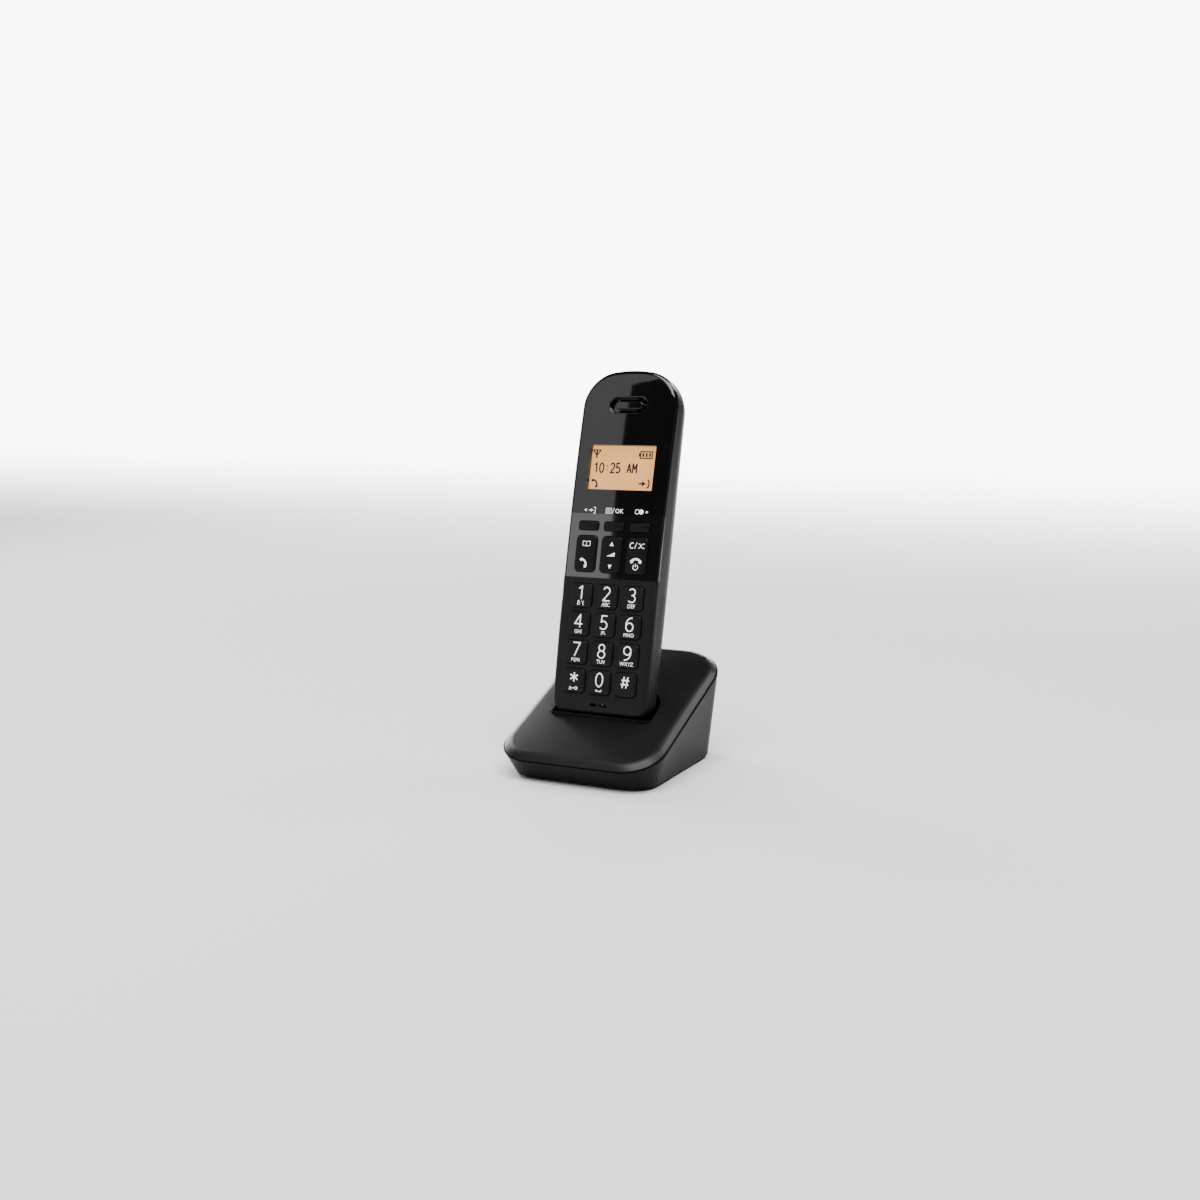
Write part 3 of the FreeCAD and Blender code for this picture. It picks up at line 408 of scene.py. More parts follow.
@dataclass
class Loop:
    """A closed outline: points and outward normals, (n, 2), anticlockwise from the lower right corner."""

    points: Array
    normals: Array
    parts: dict[str, slice] = field(default_factory=dict)

    def grown(self, by: float | Array) -> "Loop":
        """The outline moved outwards along its normals."""
        by = np.asarray(by, float)
        return Loop(self.points + self.normals * (by[..., None] if by.ndim else by), self.normals, self.parts)

    def spread(self, shares: Array) -> "Loop":
        """The outline at other points: share 0 to 4 counts corner middles, with even lengths between two of them."""
        ring = np.concatenate([self.points, self.points[:1]])
        along = np.concatenate([[0], np.cumsum(np.linalg.norm(np.diff(ring, axis=0), axis=1))])
        middles = [(part.start + part.stop - 1) // 2 for name, part in self.parts.items() if "corner" in name]
        marks = np.array([along[i] for i in middles] + [along[middles[0]] + along[-1]])
        wanted = np.interp(shares, np.arange(5), marks) % along[-1]
        normals = np.concatenate([self.normals, self.normals[:1]])
        found = [np.stack([np.interp(wanted, along, rows[:, i]) for i in (0, 1)], 1) for rows in (ring, normals)]
        return Loop(found[0], found[1] / np.linalg.norm(found[1], axis=1, keepdims=True))


PART_NAMES = ("corner_0", "right", "corner_1", "top", "corner_2", "left", "corner_3", "bottom")


def outline(centres: Array, radii: Sequence[float], right: Array | None = None, across: int = 14,
            square: bool = False) -> Loop:
    """An outline from its four corners.

    A corner is an arc: centre + radius * (cos turn, sin turn). A side is a straight run between two arcs. A square
    outline has the same count of points, with each corner's unit vector stretched until its longer part is 1.

    Args:
        centres: The corners' centres, (4, 2), from the lower right one round anticlockwise.
        radii: The corners' radii.
        right: Fractions of the right side at which it has points, 0 to 1; the left side mirrors them.
        across: The count of points on the top and bottom.
        square: Whether the corners are square.

    Returns:
        The outline.
    """
    right = np.linspace(0, 1, 14) if right is None else right
    points, normals, parts, count = [], [], {}, 0
    ends = []
    for centre, radius, start in zip(centres, radii, (-90, 0, 90, 180)):
        turn = np.radians(np.linspace(start, start + 90, ARC_STEPS + 1))
        unit = np.stack([np.cos(turn), np.sin(turn)], 1)
        reach = unit / np.abs(unit).max(1, keepdims=True) if square else unit
        ends.append((centre + radius * reach, unit))
    for i in range(4):
        spot, unit = ends[i]
        after = ends[(i + 1) % 4]
        share = [right, np.linspace(0, 1, across), 1 - right[::-1], np.linspace(0, 1, across)][i][1:-1, None]
        side = spot[-1] * (1 - share) + after[0][0] * share
        side_unit = np.repeat(unit[-1:], len(share), 0)
        for name, found, facing in ((PART_NAMES[2 * i], spot, unit), (PART_NAMES[2 * i + 1], side, side_unit)):
            parts[name] = slice(count, count + len(found))
            points.append(found)
            normals.append(facing)
            count += len(found)
    return Loop(np.concatenate(points), np.concatenate(normals), parts)


def box_outline(x: tuple[float, float], z: tuple[float, float], corners: Sequence[float], **options: object) -> Loop:
    """An outline of a rectangle from its sides, with the radius of each corner from the lower right one round."""
    signs = np.array([(1, -1), (1, 1), (-1, 1), (-1, -1)])
    edges = np.array([(x[1], z[0]), (x[1], z[1]), (x[0], z[1]), (x[0], z[0])])
    return outline(edges - signs * np.array(corners)[:, None], corners, **options)


def rounded(width: float, height: float, corner: float, **options: object) -> Loop:
    """A rounded rectangle about the origin."""
    return box_outline((-width / 2, width / 2), (-height / 2, height / 2), [corner] * 4, **options)


def between(inner: Array, outer: Array, shares: Sequence[float]) -> Array:
    """Rows of points from one curve to another: inner + share * (outer - inner)."""
    shares = np.asarray(shares, float).reshape(-1, *([1] * inner.ndim))
    return inner + shares * (outer - inner)


def round_edge(start: Array, corner: Array, end: Array, steps: int = 6) -> Array:
    """Rows that round an edge: a conic from start to end that leans on the corner.

    It is ((1 - t)^2 start + sqrt(2) t (1 - t) corner + t^2 end) / (the sum of those weights), which is a circle
    where the legs are equal and at right angles.
    """
    t = np.linspace(0, 1, steps + 1).reshape(-1, *([1] * start.ndim))
    weights = (1 - t) ** 2, math.sqrt(2) * t * (1 - t), t ** 2
    return (weights[0] * start + weights[1] * corner + weights[2] * end) / sum(weights)


# ---------------------------------------------------------------- frames and meshes

@dataclass(frozen=True)
class Local:
    """A piece's own frame: its origin in metres, and unit axes across, back and up."""

    origin: Array
    across: Array
    back: Array
    up: Array

    def place(self, points: Array) -> Array:
        """Millimetre points (..., 3) as metres in the object's frame."""
        return self.origin + MM * (points[..., 0:1] * self.across + points[..., 1:2] * self.back
                                   + points[..., 2:3] * self.up)

    def read(self, points: Array) -> Array:
        """Metres in the object's frame as millimetres in this one."""
        return (points - self.origin) @ np.stack([self.across, self.back, self.up], 1) / MM

    def turned(self, at: Array, degrees: float) -> "Local":
        """A frame at a point in this one, turned about the across axis."""
        c, s = math.cos(math.radians(degrees)), math.sin(math.radians(degrees))
        return Local(self.place(at), self.across, c * self.back + s * self.up, c * self.up - s * self.back)


def node_points(name: str) -> Array:
    """A CAD node's points, (n, 3), in metres."""
    mesh = frame["nodes"][name].data
    found = np.empty(len(mesh.vertices) * 3)
    mesh.vertices.foreach_get("co", found)
    return found.reshape(-1, 3)


class Skin:
    """Collects patches of points and makes one mesh piece of them."""

    def __init__(self, name: str, finishes: Sequence[object]) -> None:
        """Starts a piece with the finishes that its patches name by number."""
        self.name = name
        self.finishes = finishes
        self.points: list[Array] = []
        self.faces: list[list] = []
        self.paint: list[Array] = []
        self.count = 0

    def add(self, rows: Array, facing: Array, closed: bool = False, finish: int = 0) -> None:
        """Adds a grid patch.

        Args:
            rows: Points in metres, (rows, columns, 3).
            facing: A direction, or one for each point, that the patch's front has on its side.
            closed: Whether the last column joins the first.
            finish: The number of the patch's finish.
        """
        rows = np.asarray(rows, float)
        down, along = rows.shape[:2]
        index = np.arange(down * along).reshape(down, along)
        if closed:
            index = np.concatenate([index, index[:, :1]], 1)
        quads = np.stack([index[:-1, :-1], index[:-1, 1:], index[1:, 1:], index[1:, :-1]], -1).reshape(-1, 4)
        flat = rows.reshape(-1, 3)
        normal = np.cross(flat[quads[:, 2]] - flat[quads[:, 0]], flat[quads[:, 3]] - flat[quads[:, 1]])
        wanted = np.broadcast_to(facing, rows.shape).reshape(-1, 3)[quads[:, 0]]
        if (normal * wanted).sum() < 0:
            quads = quads[:, ::-1]
        self.mesh(flat, quads.tolist(), finish)

    def mesh(self, points: Array, faces: list, finish: int = 0) -> None:
        """Adds points and the faces between them."""
        self.points.append(points)
        self.faces.append([[i + self.count for i in face] for face in faces])
        self.paint.append(np.full(len(faces), finish))
        self.count += len(points)

    def build(self, body: str, slot: str, stands_for: Sequence[str] = (), smooth: float = 40.0) -> bpy.types.Object:
        """Makes the piece.

        Args:
            body: The CAD body that it rides on.
            slot: The record's material slot; not used.
            stands_for: CAD nodes that it replaces.
            smooth: Edges turned by less than this many degrees are shaded smooth.

        Returns:
            The new object.
        """
        mesh = bpy.data.meshes.new(self.name)
        mesh.from_pydata(np.concatenate(self.points), [], [f for group in self.faces for f in group])
        mesh.polygons.foreach_set("material_index", np.concatenate(self.paint).astype(np.int32))
        for finish in self.finishes:
            mesh.materials.append(PAINTS.of(finish))
        work = bmesh.new()
        work.from_mesh(mesh)
        bmesh.ops.remove_doubles(work, verts=work.verts, dist=2e-6)
        bmesh.ops.dissolve_degenerate(work, edges=work.edges, dist=1e-7)
        work.to_mesh(mesh)
        work.free()
        mesh.shade_smooth()
        mesh.set_sharp_from_angle(angle=math.radians(smooth))
        piece = bpy.data.objects.new(self.name, mesh)
        bpy.context.scene.collection.objects.link(piece)
        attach(piece, body)
        if stands_for:
            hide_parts(*stands_for)
        log.info("%s: %d faces on %s", self.name, len(mesh.polygons), body)
        return piece


# ---------------------------------------------------------------- printing

class Drawing:
    """Flat printing in millimetres, x across and z up, made of filled outlines."""

    def __init__(self) -> None:
        """Starts empty."""
        self.shapes: list[tuple[Array, list]] = []

    def fill(self, points: Iterable) -> "Drawing":
        """Adds a filled outline."""
        points = np.asarray(list(points), float)
        return self._add(points, [list(range(len(points)))])

    def _add(self, points: Array, faces: list) -> "Drawing":
        """Adds points and faces, each face turned to run anticlockwise."""
        turned = []
        for face in faces:
            x, z = points[face].T
            area = (x * np.roll(z, -1) - z * np.roll(x, -1)).sum()
            turned.append(list(face) if area > 0 else list(face)[::-1])
        self.shapes.append((points, turned))
        return self

    def stroke(self, points: Iterable, width: float, closed: bool = False) -> "Drawing":
        """Adds a line of even width: each point gives one on either side, along the mean of its two normals.

        The line first gets a point every half millimetre, so that it follows the surface that it is laid on.
        """
        line = np.asarray(list(points), float)
        corners = np.concatenate([line, line[:1]]) if closed else line
        along = np.concatenate([[0], np.cumsum(np.linalg.norm(np.diff(corners, axis=0), axis=1))])
        marks = np.unique(np.concatenate([along, np.arange(0, along[-1], 0.5)]))
        marks = marks[np.concatenate([[True], np.diff(marks) > 1e-4])]
        line = np.stack([np.interp(marks, along, corners[:, i]) for i in (0, 1)], 1)
        line = line[:-1] if closed else line
        step = np.diff(np.concatenate([line[-1:], line, line[:1]]) if closed
                       else np.concatenate([2 * line[:1] - line[1:2], line, 2 * line[-1:] - line[-2:-1]]), axis=0)
        step /= np.linalg.norm(step, axis=1, keepdims=True)
        mean = step[:-1] + step[1:]
        mean /= np.maximum((mean * step[:-1]).sum(1, keepdims=True), 0.6)
        side = np.stack([-mean[:, 1], mean[:, 0]], 1) * width / 2
        n = len(line)
        pairs = [(i, (i + 1) % n) for i in range(n if closed else n - 1)]
        return self._add(np.concatenate([line + side, line - side]), [[i, j, j + n, i + n] for i, j in pairs])

    def arc(self, centre: tuple[float, float], radius: float, start: float, stop: float, width: float,
            closed: bool = False) -> "Drawing":
        """Adds a line along an arc, from one turn in degrees to another."""
        turn = np.radians(np.linspace(start, stop, 25))[:24 if closed else 25]
        return self.stroke(np.array(centre) + radius * np.stack([np.cos(turn), np.sin(turn)], 1), width, closed)

    def disc(self, centre: tuple[float, float], radius: float) -> "Drawing":
        """Adds a filled disc."""
        turn = np.linspace(0, 2 * math.pi, 20, endpoint=False)
        return self.fill(np.array(centre) + radius * np.stack([np.cos(turn), np.sin(turn)], 1))

    def bar(self, x: tuple[float, float], z: tuple[float, float]) -> "Drawing":
        """Adds a filled rectangle."""
        return self.fill([(x[0], z[0]), (x[1], z[0]), (x[1], z[1]), (x[0], z[1])])

    def text(self, words: str, height: float, x: float, z: float, squeeze: float = 1.0) -> "Drawing":
        """Adds words of this height, centred at a place, with their width squeezed."""
        curve = bpy.data.curves.new("words", "FONT")
        curve.body, curve.resolution_u = words, 3
        holder = bpy.data.objects.new("words", curve)
        mesh = bpy.data.meshes.new_from_object(holder)
        points = np.empty(len(mesh.vertices) * 3)
        mesh.vertices.foreach_get("co", points)
        points = points.reshape(-1, 3)[:, :2]
        scale = height / (points[:, 1].max() - points[:, 1].min())
        middle = (points.max(0) + points.min(0)) / 2
        faces = [list(face.vertices) for face in mesh.polygons]
        bpy.data.objects.remove(holder)
        bpy.data.meshes.remove(mesh)
        bpy.data.curves.remove(curve)
        return self._add((points - middle) * (scale * squeeze, scale) + (x, z), faces)

    def handset(self, x: float, z: float, size: float, turn: float) -> "Drawing":
        """Adds a telephone handset: a bowed grip with a block at either end."""
        angle = math.radians(turn)
        matrix = np.array([(math.cos(angle), math.sin(angle)), (-math.sin(angle), math.cos(angle))]) * size
        sweep = np.radians(np.linspace(205, 335, 13))
        grip = np.stack([1.1 * np.cos(sweep), 0.95 + np.sin(sweep)], 1)
        self.stroke(grip @ matrix + (x, z), 0.36 * size)
        for side in (-1, 1):
            block = np.array([(0.62, 0.12), (1.16, 0.30), (0.98, 0.80), (0.50, 0.60)]) * (side, 1)
            self.fill(block @ matrix + (x, z))
        return self

    def lay(self, skin: Skin, finish: int, surface: Callable[[Array], Array]) -> None:
        """Adds the printing to a piece, on a surface that maps (n, 2) millimetres to metres."""
        for points, faces in self.shapes:
            skin.mesh(surface(points), faces, finish)


# ---------------------------------------------------------------- the handset

def handset_frame() -> Local:
    """The handset's own frame: up is its lift joint's axis, and its origin lies under the front face's apex."""
    lift = next(j for j in frame["joints"] if j["name"] == "handset_lift")
    up = np.array(lift["axis"], float)
    across = np.array((1.0, 0.0, 0.0))
    back = np.cross(up, across)
    front = (node_points("function_key_frame") @ back).min()
    low = (node_points("handset_front_case") @ up).min()
    return Local(front * back + low * up, across, back, up)


@dataclass(frozen=True)
class Face:
    """The handset's bowed front face."""

    length: float = 156.8
    bow_radius: float = 1100.0

    def depth(self, height: Array | float) -> Array | float:
        """Depth of the face: radius - sqrt(radius^2 - (height - middle)^2)."""
        return self.bow_radius - np.sqrt(self.bow_radius ** 2 - (height - self.length / 2) ** 2)

    def angle(self, height: float) -> float:
        """Degrees that the face leans at a height."""
        return math.degrees(math.asin((height - self.length / 2) / self.bow_radius))


def bend(centre: tuple[float, float], radii: tuple[float, float], start: float, stop: float) -> list:
    """Points along an ellipse's arc: centre + (radius x * cos turn, radius z * sin turn)."""
    turn = np.radians(np.linspace(start, stop, 15))
    return list(np.stack([centre[0] + radii[0] * np.cos(turn), centre[1] + radii[1] * np.sin(turn)], 1))


def glyph_lines(glyph: str) -> list[tuple[list, bool]]:
    """A dial digit or letter, 3.6 wide and 6 high, as lines that are open or closed."""
    low, high = 0.0, 6.0
    lines = {
        "0": [(bend((0, 3), (1.7, 3.0), 90, 426), True)],
        "1": [([(-1.25, 4.7), (0.25, high), (0.25, low)], False)],
        "2": [([*bend((-0.05, 4.35), (1.55, 1.65), 160, -30), (-1.6, low), (1.75, low)], False)],
        "3": [(bend((-0.15, 4.55), (1.5, 1.45), 150, -90) + bend((-0.2, 1.58), (1.75, 1.58), 90, -145), False)],
        "4": [([(0.7, low), (0.7, high), (-1.85, 1.65), (1.95, 1.65)], False)],
        "5": [([(1.45, high), (-1.15, high), (-1.3, 3.2), *bend((-0.25, 1.8), (1.75, 1.8), 100, -145)], False)],
        "6": [([*bend((1.2, 3.0), (2.9, 3.0), 92, 175), *bend((0, 1.85), (1.7, 1.85), 180, -180)], False)],
        "7": [([(-1.75, high), (1.75, high), (-0.75, low)], False)],
        "8": [(bend((0, 4.55), (1.4, 1.45), -90, 250), True), (bend((0, 1.58), (1.7, 1.58), 90, 430), True)],
        "9": [([*bend((-1.2, 3.0), (2.9, 3.0), -92, -5), *bend((0, 4.15), (1.7, 1.85), 0, 360)], False)],
        "#": [([(-1.15, 0.4), (-0.45, 5.4)], False), ([(0.65, 0.4), (1.35, 5.4)], False),
              ([(-1.9, 2.0), (1.8, 2.0)], False), ([(-1.7, 3.8), (2.0, 3.8)], False)],
        "*": [([(0, 3.3), (2.1 * math.cos(turn), 3.3 + 2.1 * math.sin(turn))], False)
              for turn in np.radians([90, 210, 330, 30, 150, 270])],
        ":": [([(0, 1.3), (0, 2.1)], False), ([(0, 3.9), (0, 4.7)], False)],
        "A": [([(-1.7, low), (0, high), (1.7, low)], False), ([(-1.1, 2.0), (1.1, 2.0)], False)],
        "M": [([(-1.6, low), (-1.6, high), (0, 2.4), (1.6, high), (1.6, low)], False)],
        " ": [],
    }
    return lines[glyph]


class Icon(Enum):
    """What is printed on a key that isn't a digit's."""

    TALK = "talk"
    VOLUME = "volume"
    END = "end"
    PLAIN = "plain"


@dataclass(frozen=True)
class KeyShape:
    """A kind of key: its outline, how proud it stands, and where its flange lies."""

    width: float
    height: float
    corner: float
    proud: float
    flange: float
    edge: float = 0.45
    crown: float = 0.12
    lip: float = 0.6

    def surface(self, points: Array) -> Array:
        """Depth of the cap: -proud - crown * (1 - (2x/width)^2) * (1 - (2z/height)^2)."""
        x, z = points[..., 0] / self.width * 2, points[..., 1] / self.height * 2
        return -self.proud - self.crown * (1 - np.clip(x * x, 0, 1)) * (1 - np.clip(z * z, 0, 1))


DIAL = KeyShape(10.6, 10.6, 2.0, 0.9, 2.4)
TALL = KeyShape(10.2, 16.4, 2.0, 0.6, 4.6)
SOFT = KeyShape(9.8, 4.0, 1.1, 0.6, 4.15, 0.4, 0.2)


@dataclass
class Key:
    """One key with its printing, as one mesh that moves with its own body."""

    name: str
    x: float
    z: float
    shape: KeyShape
    label: str | Icon
    letters: str = ""

    def drawing(self) -> Drawing:
        """The printing on the cap."""
        art = Drawing()
        if self.label is Icon.TALK:
            art.stroke([(0, 3.4), (-1.8, 3.6), (-1.8, 5.6), (0, 5.4), (1.8, 5.6), (1.8, 3.6)], 0.24, True)
            art.stroke([(0, 3.4), (0, 5.4)], 0.24)
            art.handset(0.0, -3.7, 2.2, 127)
        elif self.label is Icon.VOLUME:
            art.fill([(-0.95, 3.9), (0.95, 3.9), (0, 5.8)])
            art.fill([(-2.0, -0.75), (1.9, -0.75), (1.9, 1.0)])
            art.fill([(-0.95, -4.6), (0, -6.4), (0.95, -4.6)])
        elif self.label is Icon.END:
            art.stroke(bend((-2.6, 4.6), (0.95, 1.25), 48, 312), 0.36).stroke([(-1.3, 3.2), (-0.3, 6.1)], 0.26)
            art.stroke([(0.5, 3.6), (1.1, 3.6), (2.5, 5.5), (3.5, 5.5)], 0.28)
            art.stroke([(0.5, 5.5), (1.1, 5.5), (2.5, 3.6), (3.5, 3.6)], 0.28)
            art.handset(0, -1.5, 2.45, 180)
            art.arc((0, -5.0), 1.2, 125, 415, 0.3).stroke([(0, -4.9), (0, -3.5)], 0.3)
        elif isinstance(self.label, str):
            self._digit(art)
        return art

    def _digit(self, art: Drawing) -> None:
        """Adds a digit, star or hash, and the small letters or mark under it."""
        for line, closed in glyph_lines(self.label):
            art.stroke(np.array(line) + (0, -1.75), 0.53 if self.label.isdigit() else 0.6, closed)
        if self.letters == "keyhole":
            art.stroke([(-2.1, -4.3), (-1.6, -2.7), (-1.1, -4.3)], 0.26).stroke([(-0.9, -3.4), (0.6, -3.4)], 0.3)
            art.arc((1.3, -3.4), 0.62, 0, 360, 0.3, True)
        elif self.letters == "space":
            art.stroke([(-1.2, -3.1), (-1.2, -3.8), (1.2, -3.8), (1.2, -3.1)], 0.34)
        elif self.letters == "envelope":
            art.arc((-1.0, -3.8), 0.55, 0, 360, 0.26, True).arc((-1.0, -2.85), 0.4, 0, 360, 0.24, True)
            art.stroke([(0.4, -2.5), (0.4, -3.0)], 0.24).stroke([(1.5, -2.5), (1.0, -3.5), (1.5, -4.4)], 0.24)
        elif self.letters:
            art.text(self.letters, 1.7, 0, -3.5, 0.9)

    def build(self, local: Local, face: Face) -> bpy.types.Object:
        """Makes the key: a crowned cap with a rounded rim, straight sides, a flange and a closed back."""
        shape = self.shape
        place = local.turned(np.array((self.x, float(face.depth(self.z)), self.z)), -face.angle(self.z))
        # The printing's finish carries a painted glow.
        skin = Skin(self.name + "_cap", [KEY_BLACK if shape is DIAL else FUNCTION_KEY_BLACK, GLOWING_LEGEND])
        loop = rounded(shape.width, shape.height, shape.corner, right=np.linspace(0, 1, 10), across=10)
        normals = loop.normals

        def rows(offset: float, depth: float | None = None) -> Array:
            flat = loop.grown(offset).points
            level = shape.surface(flat) if depth is None else np.full(len(flat), depth)
            return place.place(np.stack([flat[:, 0], level, flat[:, 1]], -1))

        shares = np.linspace(0.02, 1, 7)
        flat = between(np.zeros_like(loop.points), loop.grown(-shape.edge).points, shares)
        cap = place.place(np.stack([flat[..., 0], shape.surface(flat), flat[..., 1]], -1))
        skin.add(cap, -place.back, closed=True)
        skin.mesh(cap[0], [list(range(len(loop.points)))])
        outward = normals[:, :1] * place.across + normals[:, 1:] * place.up
        rim = round_edge(rows(-shape.edge), rows(0, -shape.proud), rows(0, -shape.proud + shape.edge))
        skin.add(rim, outward - place.back * 0.2, closed=True)
        skin.add(np.stack([rows(0, -shape.proud + shape.edge), rows(0, shape.flange)]), outward, closed=True)
        end = rows(shape.lip, shape.flange + shape.lip)
        skin.add(np.stack([rows(0, shape.flange), rows(shape.lip, shape.flange)]), -place.back, closed=True)
        skin.add(np.stack([rows(shape.lip, shape.flange), end]), outward, closed=True)
        skin.mesh(end, [list(range(len(end)))[::-1]])
        self.drawing().lay(skin, 1, lambda p: place.place(
            np.stack([p[:, 0], shape.surface(p) - INK_LIFT, p[:, 1]], -1)))
        return skin.build(self.name, "key_black" if shape is DIAL else "function_key_black", [self.name])


@dataclass
class Keypad:
    """The keys: four rows of dial keys, three tall keys and three soft keys."""

    pitch_x: float = 12.6
    pitch_z: float = 12.8
    top_row: float = 52.6
    tall_height: float = 71.6
    soft_height: float = 84.4

    def keys(self) -> list[Key]:
        """Every key."""
        dial = [("key_1", "1", "envelope"), ("key_2", "2", "ABC"), ("key_3", "3", "DEF"),
                ("key_4", "4", "GHI"), ("key_5", "5", "JKL"), ("key_6", "6", "MNO"),
                ("key_7", "7", "PQRS"), ("key_8", "8", "TUV"), ("key_9", "9", "WXYZ"),
                ("key_star", "*", "keyhole"), ("key_0", "0", "space"), ("key_hash", "#", "")]
        made = []
        for i, (name, label, letters) in enumerate(dial):
            row, column = divmod(i, 3)
            x, z = (column - 1) * self.pitch_x, self.top_row - row * self.pitch_z
            made.append(Key(name, x, z, DIAL, label, letters))
        tall = (("talk_key", Icon.TALK), ("volume_key", Icon.VOLUME), ("end_key", Icon.END))
        for i, (name, icon) in enumerate(tall):
            made.append(Key(name, (i - 1) * self.pitch_x, self.tall_height, TALL, icon))
        for i, name in enumerate(("soft_key_left", "soft_key_middle", "soft_key_right")):
            made.append(Key(name, (i - 1) * self.pitch_x, self.soft_height, SOFT, Icon.PLAIN))
        return made

    def build(self, local: Local, face: Face) -> list[bpy.types.Object]:
        """Makes every key."""
        return [key.build(local, face) for key in self.keys()]


@dataclass
class Display:
    """The lit panel behind the window: a slab with its picture printed on its front."""

    middle: float = 111.4
    half_width: float = 18.9
    half_height: float = 12.9
    front: float = 3.75
    back: float = 5.35
    shift: float = -1.3

    def picture(self) -> Drawing:
        """The time, with icons in the corners."""
        art = Drawing()
        art.stroke([(-13.0, 4.6), (-13.0, 8.4)], 0.7).stroke([(-14.9, 8.4), (-13.0, 5.9), (-11.1, 8.4)], 0.6)
        art.stroke([(-14.9, 8.4), (-11.1, 8.4)], 0.55)
        art.stroke([(8.9, 5.0), (14.7, 5.0), (14.7, 8.0), (8.9, 8.0)], 0.55, True).bar((8.0, 8.8), (5.7, 7.3))
        for i in range(3):
            art.bar((9.8 + 1.65 * i, 10.7 + 1.65 * i), (5.6, 7.4))
        for i, glyph in enumerate("10:25 AM"):
            for line, closed in glyph_lines(glyph):
                art.stroke(np.array(line) * (0.6, 0.72) + (-12.6 + 2.75 * i, -1.9), 0.74, closed)
        art.handset(-12.0, -6.4, 2.1, 127)
        art.stroke([(9.2, -6.6), (11.8, -6.6)], 0.7).fill([(11.0, -5.3), (11.0, -7.9), (12.9, -6.6)])
        art.arc((11.9, -6.6), 2.6, -48, 48, 0.75)
        return art

    def build(self, local: Local) -> bpy.types.Object:
        """Makes the slab."""
        skin = Skin("display_panel", [LitPanel(), DISPLAY_INK, WHITE_PLASTIC])
        loop = box_outline((-self.half_width, self.half_width),
                           (self.middle - self.half_height, self.middle + self.half_height), [0.3] * 4)

        def ring(depth: float) -> Array:
            return local.place(np.stack([loop.points[:, 0], np.full(len(loop.points), depth), loop.points[:, 1]], -1))

        near, far = ring(self.front), ring(self.back)
        skin.mesh(near, [list(range(len(near)))])
        skin.mesh(far, [list(range(len(far)))[::-1]], 2)
        outward = loop.normals[:, :1] * local.across + loop.normals[:, 1:] * local.up
        skin.add(np.stack([near, far]), outward, closed=True, finish=2)
        self.picture().lay(skin, 1, lambda p: local.place(
            np.stack([p[:, 0] + self.shift, np.full(len(p), self.front - 0.03), p[:, 1] + self.middle], -1)))
        return skin.build("handset", "lcd_amber", ["lcd_glass"])


@dataclass
class SoftLabels:
    """Small white marks above the soft keys, printed on the lens."""

    height: float = 91.5

    def build(self, local: Local, face: Face, pitch: float) -> bpy.types.Object:
        """Makes the marks."""
        art = Drawing()
        h = self.height
        for side in (-1, 1):
            tip = side * (pitch + 3.3)
            art.fill([(tip, h), (tip - side * 1.1, h + 0.65), (tip - side * 1.1, h - 0.65)])
        art.stroke([(-pitch - 1.0, h), (-pitch + 0.4, h)], 0.3)
        art.fill([(-pitch + 0.1, h + 0.7), (-pitch + 0.1, h - 0.7), (-pitch + 1.2, h)])
        art.stroke([(-pitch + 1.4, h + 1.35), (-pitch + 2.2, h + 1.35), (-pitch + 2.2, h - 1.35),
                    (-pitch + 1.4, h - 1.35)], 0.28)
        art.stroke([(-4.9, h - 1.15), (-2.3, h - 1.15), (-2.3, h + 1.15), (-4.9, h + 1.15)], 0.2, True)
        for low in (-0.55, 0.05, 0.65):
            art.stroke([(-4.4, h + low), (-2.8, h + low)], 0.16)
        art.stroke([(-1.75, h - 1.3), (-0.95, h + 1.3)], 0.22)
        art.text("OK", 2.0, 1.7, h)
        art.arc((pitch - 2.1, h), 1.0, 0, 360, 0.26, True).disc((pitch - 0.1, h), 1.1)
        # The marks' finish carries a painted glow.
        skin = Skin("soft_key_labels", [GLOWING_LEGEND])
        art.lay(skin, 0, lambda p: local.place(np.stack([p[:, 0], face.depth(p[:, 1]) - INK_LIFT, p[:, 1]], -1)))
        return skin.build("handset", "gloss_black")


# ---------------------------------------------------------------- the base

